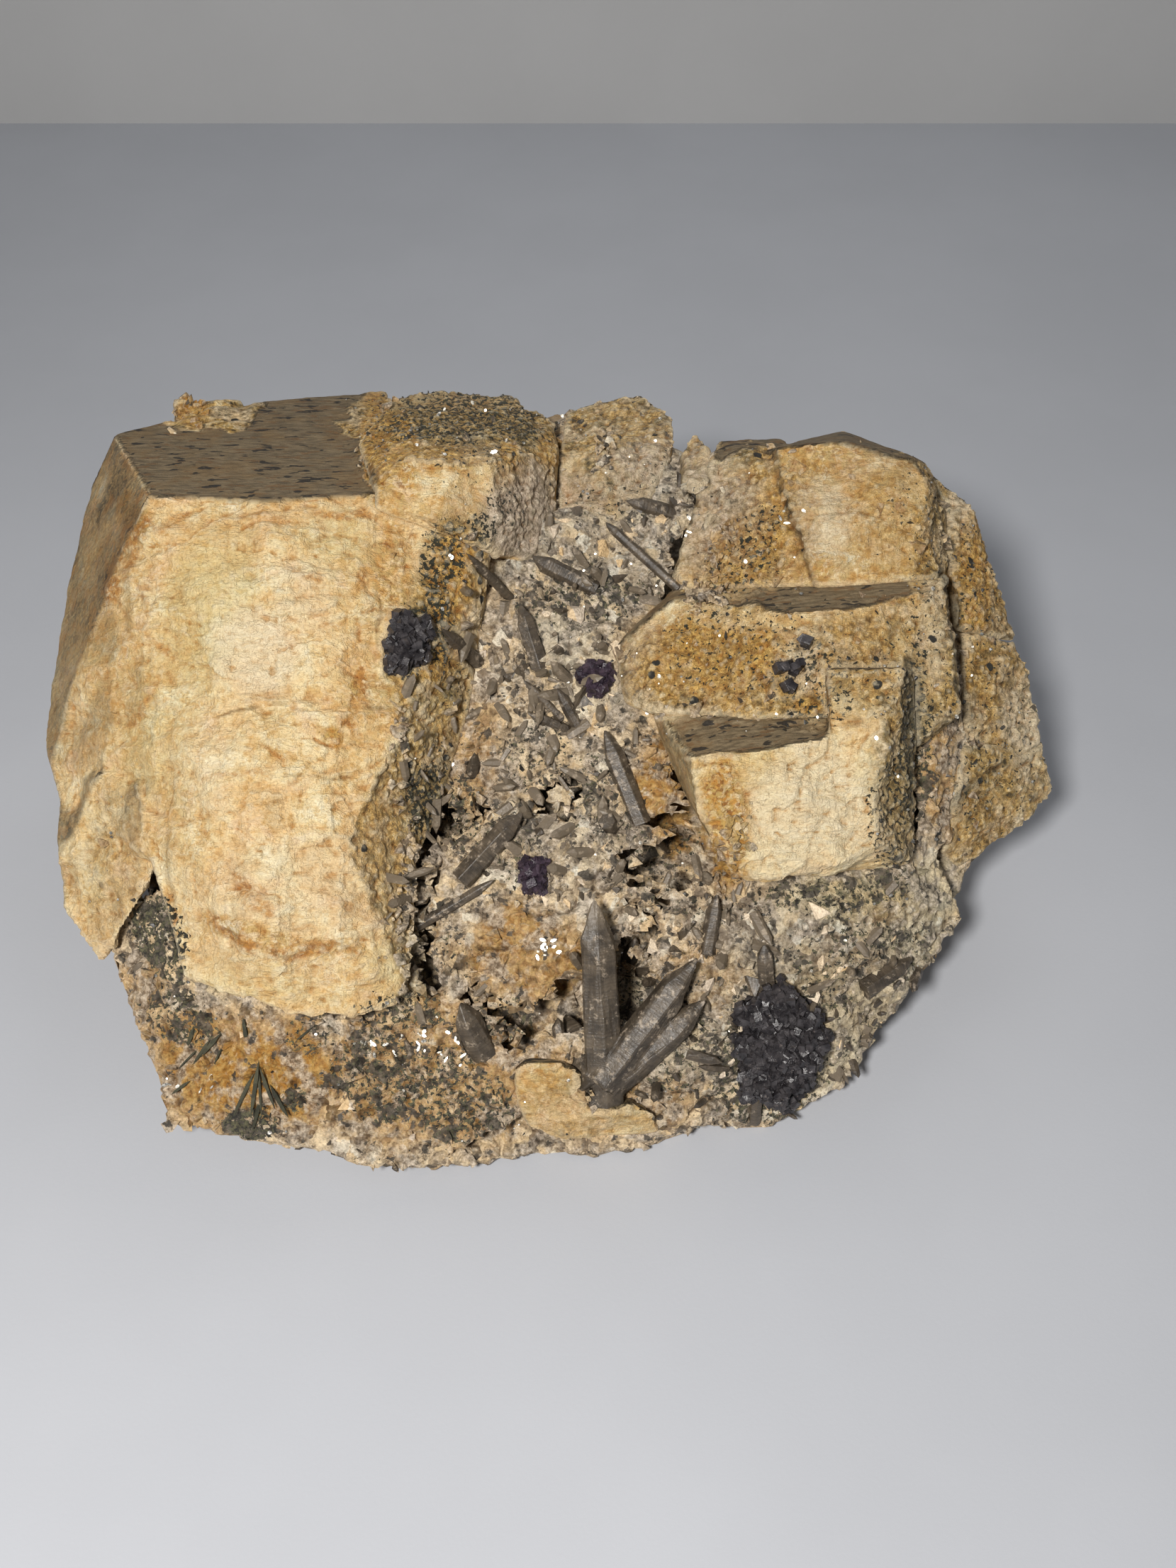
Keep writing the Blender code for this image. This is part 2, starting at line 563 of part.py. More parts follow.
def main():
    for obj in list(bpy.data.objects):
        bpy.data.objects.remove(obj)

    rock = matrix_rock()
    feldspars = [
        feldspar("feldspar_left", LEFT_CRYSTAL),
        feldspar("feldspar_knob", KNOB_CRYSTAL),
        feldspar("feldspar_top", TOP_CRYSTAL),
        feldspar("feldspar_top_lump", TOP_LUMP),
        feldspar("feldspar_lower_right", LOWER_RIGHT_CRYSTAL),
        feldspar("feldspar_middle", MIDDLE_CRYSTAL),
        feldspar("feldspar_upper_right", UPPER_RIGHT_CRYSTAL),
        feldspar("feldspar_right_upper_plate", RIGHT_UPPER_PLATE),
        feldspar("feldspar_right_middle_plate", RIGHT_MIDDLE_PLATE),
        feldspar("feldspar_right_lower_plate", RIGHT_LOWER_PLATE),
        feldspar("feldspar_bottom", BOTTOM_CRYSTAL),
    ]
    surface = surface_finder([rock, *feldspars])

    quartzes = []
    for seed, (name, crystal) in enumerate(QUARTZ_CRYSTALS.items()):
        quartzes.append(new_object(name, quartz_on(surface, *crystal, seed)))
    spray_crystals = []
    for seed, crystal in enumerate(QUARTZ_SPRAY):
        spray_crystals.append(new_object("ray", quartz_on(surface, *crystal, SPRAY_SEED + seed)))
    fluorites = [
        fluorite_cluster(name, surface, *cluster) for name, cluster in FLUORITE_CLUSTERS.items()
    ]

    rooms = [joined("room_for_spray", [room_for(crystal) for crystal in spray_crystals])]
    crystals = [*quartzes, *fluorites, *feldspars]
    for crystal in crystals:
        own_room = room_for(crystal)
        make_room(crystal, rooms)
        rooms.append(own_room)
    make_room(rock, rooms)
    for room in rooms:
        bpy.data.objects.remove(room)
    crystals.append(joined("quartz_spray", spray_crystals))

    everything = [rock, *crystals]
    stand_at_origin(everything)
    looks = {
        "matrix": material("matrix", (0.42, 0.33, 0.22), 0.85),
        "feldspar": material("feldspar", (0.78, 0.62, 0.40), 0.7),
        "quartz": material("smoky quartz", (0.14, 0.11, 0.085), 0.35),
        "fluorite": material("fluorite", (0.03, 0.02, 0.035), 0.3),
    }
    for obj in everything:
        finish(obj, looks[obj.name.split("_")[0]])


main()
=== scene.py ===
"""The looks of the fluorite on matrix: broken feldspar, crumbly matrix, smoky quartz and dark fluorite.

Every skin is made from the solid of its node, so it stays in place. Lengths in this script are in
millimetres, and meshes are written in metres. Places on the showing side are given as they are seen:
across and up on the plane through the specimen's middle, from the camera's place.
"""

import itertools
import math

import bmesh
import bpy
import numpy as np
from mathutils import Matrix, Vector
from mathutils.bvhtree import BVHTree


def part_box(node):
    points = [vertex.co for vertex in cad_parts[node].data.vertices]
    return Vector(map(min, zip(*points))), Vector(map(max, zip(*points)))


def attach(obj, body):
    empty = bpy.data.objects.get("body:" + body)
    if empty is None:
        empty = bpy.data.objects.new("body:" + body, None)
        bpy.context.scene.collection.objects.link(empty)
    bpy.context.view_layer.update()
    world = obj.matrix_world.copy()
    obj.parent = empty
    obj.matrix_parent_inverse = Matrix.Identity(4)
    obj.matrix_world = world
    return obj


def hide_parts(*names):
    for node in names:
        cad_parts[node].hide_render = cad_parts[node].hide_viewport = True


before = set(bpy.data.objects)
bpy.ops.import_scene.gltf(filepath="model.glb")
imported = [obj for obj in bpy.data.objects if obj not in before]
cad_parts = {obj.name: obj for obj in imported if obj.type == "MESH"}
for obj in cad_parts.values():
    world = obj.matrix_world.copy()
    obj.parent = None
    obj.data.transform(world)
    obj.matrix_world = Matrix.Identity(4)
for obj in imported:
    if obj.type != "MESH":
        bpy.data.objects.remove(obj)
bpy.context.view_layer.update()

MM = 0.001
VIEW_DISTANCE = 248.0
TILT = math.radians(45.0)
ACROSS = np.array((1.0, 0.0, 0.0))
UP = np.array((0.0, math.sin(TILT), math.cos(TILT)))
OUT = np.array((0.0, -math.cos(TILT), math.sin(TILT)))
MIDDLE = np.array((4.628, -16.552, 42.0))  # the middle of the showing side, where the camera looks

# The fineness of each skin
LEFT_VOXEL = 0.5
FELDSPAR_VOXEL = 0.42
MATRIX_VOXEL = 0.64
MATRIX_TRIANGLES = 180000
OVERLAP = 0.22  # how far the skins swell, so that neighbours meet
JOINT_REACH = 2.0  # how near another solid a skin starts to swell towards it
HIDDEN_SHARE = 0.12  # how much of the triangles stays where a skin is seldom seen
MATRIX_HIDDEN_SHARE = 0.4
STEEP_STEPS = {"feldspar_left": 1.0, "feldspar_lower_right": 1.25}  # how tall the broken steps are
OTHER_STEPS = 0.7

# Scattered small pieces
COUNTS = {
    "crumbs": 5400, "joint_crumbs": 900, "pale_lumps": 300, "quartz_chunks": 230, "dark_grains": 2600,
    "small_quartz": 560, "mica_flakes": 560,
}
CUBES_PER_AREA = 1.3
ROCK, LEFT = 0, 1  # the matrix and the large crystal, in the order of the skins

# Painted patches. Each region has the seed of its ragged edges, and for each patch: middle across and up,
# half widths, strength, and turn in degrees where there is one
REGIONS = {
    "stain": (11, [
        (-52, -46, 12, 9, 1), (-62, -44, 7, 9, 0.9), (-36, 22, 5, 20, 0.4), (46, 42, 8, 9, 0.65),
        (36, 52, 10, 3, 0.8), (61, 32, 4, 10, 1), (-22, 52, 6, 3, 0.8), (-12, 47, 3, 5, 0.9),
        (-20, 44, 8, 3, 0.6), (47, 40, 9, 9, 0.6), (40, 50, 9, 3, 0.7), (66, 20, 6, 16, 0.5),
        (-33, 56, 3, 6, 1), (-60, -47, 10, 10, 0.6), (-70, -36, 5, 8, 0.5), (22, -6, 4, 12, 1),
        (12, -2, 4, 10, 0.9, 15), (-8, -28, 13, 6, 0.75), (18, -31, 7, 6, 0.4), (-25, -46, 22, 11, 0.65),
        (-18, 5, 4, 10, 0.5), (40, -33, 10, 8, 0.3), (4, -50, 12, 6, 0.4), (-72.5, 43, 2.2, 5, 1, 20),
        (-21, 36, 3, 5, 1, -20), (27, 40, 5, 11, 0.9, -20), (24, 21, 9, 5, 1), (46, 30, 9, 2, 0.9),
        (-22, 33, 4.5, 9, 1, -12), (-27, 20, 6, 5, 0.8), (-31, 45, 3, 4, 0.6), (-51, 8, 3, 7, 0.35, 10),
        (-40.5, 7.5, 1.6, 1.9, 1), (-37, 15, 1.2, 2, 0.9), (-60, 40, 10, 4, 0.3), (-31, 34, 3, 9, 0.75),
        (-32, 15, 4, 7, 0.6), (-33, -8, 3, 12, 0.4), (-45, -30, 14, 6, 0.35), (-66, 20, 5, 22, 0.3, 12),
        (-76, 22, 5, 20, 0.5, 12), (44, 34, 9, 5, 0.6), (50, 46, 6, 6, 0.6), (34, 50, 7, 4, 0.6),
        (-44, 40, 8, 4, 0.35), (-36, 30, 5, 10, 0.3), (-53, -24, 9, 2.2, 0.75, -16),
        (-40, -26, 7, 1.8, 0.6, 5), (-64, -6, 4, 8, 0.45, 20), (-75, -10, 8, 3, 0.4, 20),
        (-48, -46, 9, 8, 0.9), (-56, -42, 8, 7, 0.7), (-62, -48, 7, 7, 0.5), (-12, -24, 6, 5, 0.8),
        (-17, 49, 5, 4, 0.45), (-30, 53, 4, 8, 0.9), (-34, 50, 2, 6, 1), (-13, 50, 2, 5, 0.9),
        (-6, 53, 2.5, 3, 0.9), (-20, 58, 14, 3, 0.5), (-63, 59, 3, 3, 1), (30, 42, 8, 12, 0.75, -20),
        (25, 36, 8, 7, 0.7), (35, 34, 6, 4, 0.8), (47, 33, 9, 3, 0.7), (50, 40, 5, 7, 0.4),
        (20, 20, 12, 8, 0.85, -5), (32, 20, 9, 7, 0.7), (44, 22, 10, 7, 0.55), (50, 28, 8, 3, 0.6),
        (35, 14.5, 3, 4, 0.9), (11, -4, 4, 8, 0.6, 25), (60, 30, 5, 8, 0.55), (62, 14, 5, 7, 0.5),
        (56, 2, 3, 8, 0.7), (62, -6, 6, 5, 0.55), (47, -20, 6, 3, 0.4), (-2, -50, 7, 4, 0.25),
        (10, -50, 5, 5, 0.35),
    ]),
    "yellow": (21, [
        (40, -40, 14, 12, 0.25), (52, -22, 6, 8, 0.3), (-27, 16, 7, 5, 0.8), (-60, 28, 7, 13, 0.8, -15),
        (-68, 6, 6, 12, 0.6), (-40, 38, 6, 5, 0.6), (42, -18, 10, 4, 0.5), (44, -2, 5, 6, 0.5),
        (30, -3, 12, 10, 0.55), (54, -18, 5, 6, 0.4), (-52, -30, 10, 4, 0.4), (-30, -30, 5, 6, 0.4),
    ]),
    "dark": (31, [
        (-20, 58, 16, 5, 0.78), (24, 34, 7, 6, 0.55), (46, -24, 8, 3, 0.7), (38, -33, 6, 4, 0.65),
        (64, 22, 3, 4, 0.5), (8, -36, 5, 6, 0.6), (60, -2, 5, 5, 0.5), (56, -34, 4, 7, 0.5),
        (62, 32, 5, 11, 0.5), (-14, 44, 4, 4, 0.6), (64, 14, 10, 30, 0.45), (36, 17, 7, 8, 0.6),
        (18, 22, 5, 8, 0.5), (1, 30, 12, 4, 0.7), (-8, 5, 6, 7, 0.6), (2, -2, 6, 9, 0.6),
        (-12, -10, 6, 8, 0.6), (70, 38, 6, 12, 0.7), (-44, -40, 6, 4, 0.6), (27, 38, 3.5, 9, 0.6, -20),
        (-20, 59, 16, 5, 0.65), (65, 30, 7, 14, 0.5), (-28, 23, 3.5, 6.5, 0.95), (-23, 36, 4, 8, 0.75, -20),
        (-17, 41, 3, 3, 0.8), (-22, 15, 4, 6, 0.5), (-24, 2, 4, 8, 0.55), (-20, 50, 9, 4, 0.35),
        (-15, 57, 12, 6, 0.55), (-33, 57, 6, 5, 0.5), (-68, -24, 4, 8, 0.9, 20),
        (-64, -38, 7, 5, 0.75, -30), (-53, -54, 5, 3, 0.95), (-47, -50, 2, 2, 0.9), (-33, -47, 10, 9, 0.75),
        (-20, -50, 9, 8, 0.75), (-30, -36, 9, 4, 0.7), (-15, -38, 8, 5, 0.65), (-22, -28, 6, 6, 0.5),
        (10, -33, 12, 6, 0.5), (14, -42, 12, 8, 0.6), (28, -44, 10, 11, 0.85), (20, -20, 12, 3, 0.55),
        # (38, -18) is a thin band of painted shadow under the lower right crystal's overhang, drawn as dark
        # grains; scattered dark grains gather there too
        (38, -18, 14, 2.8, 0.72), (48, -8, 3.5, 14, 0.65), (40, -28, 9, 7, 0.6), (50, -30, 6, 5, 0.5),
        (42, -40, 6, 6, 0.5), (52, 5, 3, 16, 0.75), (27, 20, 14, 8, 0.5), (50, 18, 8, 9, 0.4),
        (36, 28, 20, 2, 0.3, 2), (52, 46, 4, 8, 0.4, -30), (62, 28, 6, 16, 0.35), (70, 0, 6, 9, 0.35),
        (-4, 30, 9, 8, 0.5), (-26, -2, 3, 7, 0.9), (-20, -4, 4, 8, 0.7), (-24, 26, 3, 10, 0.85),
        (0, 14, 8, 8, 0.35), (55, 34, 5, 14, 0.45), (62, 36, 5, 8, 0.5), (5, 44, 8, 4, 0.5),
        (10, -12, 9, 8, 0.55), (12, 48, 4, 6, 0.4),
    ]),
    "grey": (51, [
        (38, -30, 16, 12, 0.55), (52, -28, 8, 12, 0.6), (17, 44, 8, 9, 0.6), (10, 54, 9, 8, 0.65),
        (-10, 41, 6, 9, 0.85, -15), (-2, 44, 6, 6, 0.6), (6, 56, 10, 6, 0.55), (14, 42, 12, 9, 0.45),
        (2, 34, 10, 7, 0.4), (0, 22, 9, 8, 0.35), (-2, -8, 10, 8, 0.35), (16, -38, 14, 8, 0.45),
    ]),
    "crust": (41, [
        (-22, 30, 6, 14, 1, -10), (-25, 16, 6, 7, 0.9), (-24, -2, 4, 12, 0.9), (-20, 58, 17, 6, 0.95),
        (-33, 55, 3, 9, 0.9), (22, 17, 22, 8, 0.95), (45, 20, 13, 9, 0.8), (26, 40, 10, 14, 0.95, -15),
        (46, 44, 10, 9, 0.5), (50, 2, 4, 18, 0.95), (64, 14, 11, 36, 0.95), (57, 38, 6, 12, 0.95),
        (35, 13, 4, 5, 1), (6, 50, 10, 12, 0.8), (-75, -12, 6, 12, 0.4), (0, -51, 12, 6, 0.5),
        (8, 55, 15, 12, 1), (12, 44, 10, 8, 0.9),
    ]),
    "pale": (83, [
        (36, -4, 11, 10, 0.9), (60, 46, 3, 3, 0.9), (69, 10, 3.5, 5, 1), (46, -44, 5, 5, 0.6),
        (38, 40, 3.5, 5, 0.9, 10), (-48, -20, 14, 12, 0.35), (58, 1, 2, 5, 0.6), (48, -34, 5, 5, 0.5),
        (34.5, 19, 3.2, 4.2, 0.7), (-53, 21, 7, 7, 0.9, 10), (-45, 30, 5, 7, 0.4), (-62, 2, 6, 8, 0.4),
        (37, 43, 4.5, 6, 0.8, 10), (43, 52, 5, 3, 0.5), (59, 43, 3, 4, 0.6), (70, 9, 3, 9, 0.6),
        (55, 24, 2, 8, 0.5), (38, -2, 8, 9, 0.5), (30, -10, 4, 6, 0.6), (39, -43, 5, 8, 0.6),
        (55, -16, 3.5, 5, 0.6), (7, -29, 3, 3, 0.8), (-5, 23, 5, 4, 0.6), (2, 13, 6, 3, 0.5),
        (-18, 47, 4, 7, 0.4), (8, 48, 4, 6, 0.5),
    ]),
    "ledge": (47, [
        (36, 27.5, 21, 3.6, 1, 2), (26, 8.5, 14, 3.6, 1, 4), (-20, 62, 16, 3, 0.5),
    ]),
    "lump": (7, [
        (-61, 60, 8, 4, 1),
    ]),
    "clear": (3, [
        (-48, -46, 9, 9, 1),
    ]),
    "back edge": (5, [
        (-64, 59, 4, 3.5, 1),
    ]),
    "deep joint": (17, [
        (-28.5, -21, 1.8, 15, 1), (21.5, 38, 2.2, 6, 1, -15), (19, 30, 3, 2.5, 1), (2.5, 56, 1.6, 7, 1),
        (23, -10, 2.5, 9, 0.8, -20), (-30, 2, 1.6, 9, 0.5),
    ]),
    "uneven": (19, [
        (0, 22, 14, 20, 1), (-4, -8, 16, 16, 1), (29, -34, 28, 15, 1.3), (4, 46, 16, 12, 0.9),
        (-30, -44, 24, 12, 0.35),
    ]),
    "valley": (9, [
        (-4, 30, 13, 9, 0.7), (-3, 12, 15, 13, 1), (-8, -6, 14, 12, 1), (12, -20, 16, 9, 0.7),
        (18, -40, 20, 12, 1), (38, -30, 12, 10, 0.8), (-18, -38, 9, 7, 0.6), (0, 48, 10, 8, 0.2),
    ]),
}
# White mica that catches the light: across, up, how many, spread
SPARKLES = [
    (-20.4, -41.5, 14, 1.6), (-26.7, -41.2, 7, 1.2), (-30.9, -41.5, 5, 1), (-34.8, -41.5, 4, 0.8),
    (-7, -25.6, 12, 1.4), (-61.3, -47, 3, 0.8), (-66.4, -48.6, 3, 0.8), (31.6, 41.8, 3, 1.2),
    (17.5, 41, 3, 1.2), (-18.5, 58.3, 2, 1.6), (-15.7, 54.7, 2, 1.6), (-22, 57, 2, 2),
]
# Dark needles on the lobe: foot across and up, way in degrees, length
NEEDLES = [
    (-52.5, -44, 262, 9), (-52.5, -44.5, 278, 8.5), (-52, -45, 292, 7), (-53.5, -46, 246, 7.5),
    (-52, -49, 256, 6.5), (-50.5, -47.5, 300, 6), (-54, -41, 98, 4), (-58, -39.5, 228, 5.5),
    (-62, -42.2, 228, 4.5), (-59.8, -40.6, 236, 5), (-63, -47, 215, 4), (-46.5, -41, 40, 3.5),
    (-59.5, -44.5, 60, 3.5), (-62.5, -38, 250, 4),
]
# Deep hollows to fill with crumbs: across, up, spread, how many
HOLLOWS = [
    (-25.2, -13.5, 1.4, 18), (-25.8, -17.5, 1.6, 22), (-26.4, -21.5, 1.6, 22), (-27, -25.5, 1.5, 20),
    (-27.8, -29.5, 1.3, 16), (-29, -33, 1.2, 12), (-20.3, -5.3, 2.8, 36), (-17.2, -32.9, 1.6, 14),
    (-15, -41, 1.6, 10), (-3.6, 2.1, 1.2, 7), (6.9, -11.9, 1.4, 8), (13.1, 2.6, 1.3, 8),
    (-24.5, -8, 1.6, 14), (9.5, -19.8, 1.3, 9), (-5.8, -32.9, 1.2, 7), (15.3, -8.4, 1.3, 8),
    (-23.5, -10.5, 1.4, 14), (-21, -11, 1.3, 10), (-28, -31.5, 1.2, 16), (-26.5, -34, 1.2, 12),
    (-12.2, -39.7, 1.4, 14), (-23.5, -6.1, 1.3, 14), (6.9, -29.5, 1.3, 12), (-2.5, -34.5, 1.3, 10),
    (-11.5, -34, 1.4, 12), (8, -27, 1.6, 12),
]

# Cracks and dark joints: corners (across, up), half width, strength
CRACKS = [
    ([(-58.5, 11.2), (-50, 12.6), (-42, 12), (-30.3, 12.4)], 0.16, 0.55),
    ([(-52, -0.2), (-46, 0.8), (-34.8, 1.8)], 0.14, 0.35),
    ([(-59.2, -22.4), (-55.1, -25.2), (-48.9, -26.9), (-40.5, -25.8), (-37.1, -26.9)], 0.2, 0.3),
    ([(-69.2, 14.4), (-69.5, 6.1)], 0.16, 0.5),
    ([(-33.9, 42.5), (-33.4, 32), (-33.2, 21)], 0.16, 0.35),
    ([(50.9, 19), (51.5, 10), (52.2, -2), (51.8, -20.7)], 0.7, 0.95),
    ([(55.8, 32.8), (58.1, 30), (58.6, 23.2), (58.9, 9.7)], 0.45, 0.9),
    ([(58, 24.3), (67.6, 22.6), (70, 21)], 0.3, 0.7),
    ([(52.4, -8), (58, -3.2), (63, 1.5), (66, 3.4)], 0.35, 0.7),
    ([(56.6, 9.6), (56.2, -6)], 0.25, 0.6),
]

# Streaks of rust, given in the same way
RUST_STREAKS = [
    ([(-70, 45), (-73.5, 38), (-76.5, 30)], 0.9, 0.9),
    ([(-74, 33), (-70, 31.5), (-66, 29)], 0.4, 0.7),
    ([(-69, 41), (-64, 43)], 0.5, 0.7),
    ([(-59.2, -22.4), (-55.1, -25.2), (-48.9, -26.9), (-40.5, -25.8), (-37.1, -26.9)], 0.55, 0.9),
    ([(-56, -15), (-53.6, -18.6), (-50.6, -20)], 0.7, 0.75),
    ([(-44, 43.6), (-38, 42.4), (-31, 42.8), (-26, 41.2)], 0.4, 0.8),
    ([(-57, 42), (-52, 42.8), (-47, 41.6)], 0.3, 0.6),
    ([(-31.6, 38), (-31, 30), (-31.8, 22)], 0.5, 0.7),
    ([(-39.6, 6.4), (-38.4, 9.4)], 0.9, 0.9),
    ([(-36.4, 17.6), (-35.6, 13)], 0.6, 0.9),
    ([(-71, 30), (-70, 24), (-66, 20)], 0.35, 0.7),
    ([(-75, 8), (-71, 12), (-69, 17)], 0.4, 0.6),
    ([(-42.4, -17), (-38, -19.5)], 0.5, 0.6),
    ([(-60.5, 0.5), (-53, 1.6), (-47, 0.4), (-40, 1.8)], 0.3, 0.55),
    ([(-46, 33.4), (-42.6, 32.6)], 0.4, 0.8),
    ([(-36, 33), (-34.6, 30)], 0.5, 0.8),
]


def seen(points):
    """Across, up and out of places, as they look from the camera."""
    place = points - MIDDLE
    out = place @ OUT
    spread = 1.0 - out / VIEW_DISTANCE
    return np.column_stack((place @ ACROSS / spread, place @ UP / spread, out))


def true_place(across, up, out):
    """The place of a spot that is given as it is seen."""
    spread = 1.0 - out / VIEW_DISTANCE
    return MIDDLE + across * spread * ACROSS + up * spread * UP + out * OUT


# Repeatable noise


def lattice(cell, seed):
    """A repeatable number from 0 to 1 for each whole-numbered cell."""
    mixed = cell[:, 0] * 374761393 + cell[:, 1] * 668265263 + cell[:, 2] * 1103515245 + seed * 12345701
    mixed = (mixed ^ (mixed >> 13)) * 1274126177
    mixed = (mixed ^ (mixed >> 16)) & 0xFFFFFF
    return mixed / float(0xFFFFFF)


def noise(points, size, seed=0):
    """Smooth noise from -1 to 1, with bumps about `size` across."""
    at = points / size
    cell = np.floor(at).astype(np.int64)
    part = at - cell
    part = part * part * (3.0 - 2.0 * part)
    total = np.zeros(len(points))
    for corner in itertools.product((0, 1), repeat=3):
        weight = np.prod(np.where(corner, part, 1.0 - part), axis=1)
        total += weight * lattice(cell + np.array(corner), seed)
    return 2.0 * total - 1.0


# Turns the points between the scales of a noise, so that their cells never line up
TURN = np.array(Matrix.Rotation(0.7, 3, Vector((0.3, 0.5, 0.8))))


def fractal(points, size, octaves=3, seed=0):
    """Noise on several scales, from about -1 to 1."""
    total = np.zeros(len(points))
    strength = 1.0
    for octave in range(octaves):
        total += strength * noise(points, size, seed + octave)
        points = points @ TURN
        size *= 0.5
        strength *= 0.5
    return total / 1.5


def cells(points, size, seed=0):
    """For scattered grains: the distances to the nearest two, in sizes, and the nearest one's number."""
    at = points / size
    base = np.floor(at).astype(np.int64)
    first = np.full(len(at), 9.0)
    second = np.full(len(at), 9.0)
    number = np.zeros(len(at))
    for offset in itertools.product((-1, 0, 1), repeat=3):
        cell = base + np.array(offset)
        jitter = np.column_stack([lattice(cell, seed + axis) for axis in range(3)])
        distance = np.linalg.norm(at - cell - jitter, axis=1)
        nearer = distance < first
        second = np.where(nearer, first, np.minimum(second, distance))
        number = np.where(nearer, lattice(cell, seed + 7), number)
        first = np.where(nearer, distance, first)
    return first, second, number


def cleavage(across, up, block, seed):
    """Heights from -1 to 1 of a surface broken in square-edged steps, with blocks of that size."""
    at = np.column_stack((across / block[0], up / block[1]))
    base = np.floor(at).astype(np.int64)
    best = np.full(len(at), 9.0)
    height = np.zeros(len(at))
    for offset in itertools.product((-1, 0, 1), repeat=2):
        cell = np.column_stack((base + np.array(offset), np.zeros(len(at), np.int64)))
        jitter = np.column_stack([lattice(cell, seed), lattice(cell, seed + 1)])
        apart = at - cell[:, :2] - jitter
        distance = np.abs(apart).max(axis=1)
        level = 2.0 * lattice(cell, seed + 2) - 1.0
        slope = (lattice(cell, seed + 3) - 0.5) * apart[:, 0]
        slope += (lattice(cell, seed + 4) - 0.5) * apart[:, 1]
        nearer = distance < best
        height = np.where(nearer, level + slope, height)
        best = np.where(nearer, distance, best)
    return height


def terraced(height, tall, crisp=0.7):
    """Heights gathered into flat steps with steep edges."""
    part = height / tall - np.floor(height / tall)
    return tall * (np.floor(height / tall) + ease(part, crisp, 1.0))


def ease(value, low, high):
    """0 below low, 1 above high, and a smooth step between."""
    share = np.clip((value - low) / (high - low), 0.0, 1.0)
    return share * share * (3.0 - 2.0 * share)


def region(place, name):
    """How strongly a region's soft-edged patches cover places that are given as seen."""
    seed, listed = REGIONS[name]
    ragged = 0.35 * fractal(place * np.array((1.0, 1.0, 0.6)), 5.0, 3, seed)
    cover = np.zeros(len(place))
    for across, up, wide, high, strength, *turn in listed:
        angle = math.radians(turn[0]) if turn else 0.0
        apart = place[:, :2] - np.array((across, up))
        along = (apart[:, 0] * math.cos(angle) + apart[:, 1] * math.sin(angle)) / wide
        over = (apart[:, 1] * math.cos(angle) - apart[:, 0] * math.sin(angle)) / high
        reach = np.hypot(along, over) + ragged
        cover = np.maximum(cover, strength * ease(1.35 - reach, 0.0, 0.7))
    return cover


def near_lines(place, listed, seed):
    """How strongly cracks or streaks mark places that are given as seen."""
    flat = place[:, :2] + 0.9 * np.column_stack([noise(place, 4.0, seed), noise(place, 4.0, seed + 1)])
    cover = np.zeros(len(place))
    for ends, half_width, strength in listed:
        for start, end in zip(ends, ends[1:]):
            start, way = np.array(start), np.array(end) - np.array(start)
            share = np.clip((flat - start) @ way / (way @ way), 0.0, 1.0)
            apart = np.linalg.norm(flat - start - share[:, None] * way, axis=1)
            cover = np.maximum(cover, strength * ease(2.4 - apart / half_width, 0.0, 1.4))
    return cover * ease(noise(place, 2.6, seed + 2), -0.7, 0.1)


# Meshes


def mesh_object(name, mesh):
    """A new object in the scene that shows a mesh."""
    obj = bpy.data.objects.new(name, mesh)
    bpy.context.scene.collection.objects.link(obj)
    return obj


def evaluated(obj):
    """The mesh that an object's modifiers make. The object is removed."""
    graph = bpy.context.evaluated_depsgraph_get()
    mesh = bpy.data.meshes.new_from_object(obj.evaluated_get(graph))
    old = obj.data
    bpy.data.objects.remove(obj)
    bpy.data.meshes.remove(old)
    return mesh


def corners(mesh):
    """A mesh's corners, in millimetres."""
    flat = np.empty(len(mesh.vertices) * 3)
    mesh.vertices.foreach_get("co", flat)
    return flat.reshape(-1, 3) / MM


def set_corners(mesh, points):
    """Moves a mesh's corners to places in millimetres."""
    mesh.vertices.foreach_set("co", (points * MM).ravel())
    mesh.update()


def directions(mesh):
    """A mesh's corner normals."""
    flat = np.empty(len(mesh.vertices) * 3)
    mesh.vertices.foreach_get("normal", flat)
    return flat.reshape(-1, 3)


def new_mesh(name, points, faces):
    mesh = bpy.data.meshes.new(name)
    mesh.from_pydata((points * MM).tolist(), [], faces)
    return mesh


def hollows(mesh, rounds=4):
    """How deep each corner lies below its surroundings, in millimetres. Edges have less than 0."""
    ends = np.empty(len(mesh.edges) * 2, int)
    mesh.edges.foreach_get("vertices", ends)
    one, other = ends.reshape(-1, 2).T
    points = corners(mesh)
    count = len(points)
    links = np.maximum(np.bincount(one, minlength=count) + np.bincount(other, minlength=count), 1)
    smooth = points
    for _ in range(rounds):
        smooth = np.column_stack([
            (np.bincount(one, side[other], count) + np.bincount(other, side[one], count)) / links
            for side in smooth.T
        ])
    return np.sum((smooth - points) * directions(mesh), axis=1)


def skin_of(node, voxel, rounding=0):
    """A fine, even skin round the solid of a node, with edges worn round."""
    obj = mesh_object("skin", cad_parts[node].data.copy())
    weld = obj.modifiers.new("weld", "WELD")
    weld.merge_threshold = 0.01 * MM
    remesh = obj.modifiers.new("remesh", "REMESH")
    remesh.mode = "VOXEL"
    remesh.voxel_size = voxel * MM
    if rounding:
        smooth = obj.modifiers.new("smooth", "SMOOTH")
        smooth.factor = 0.5
        smooth.iterations = rounding
    return evaluated(obj)


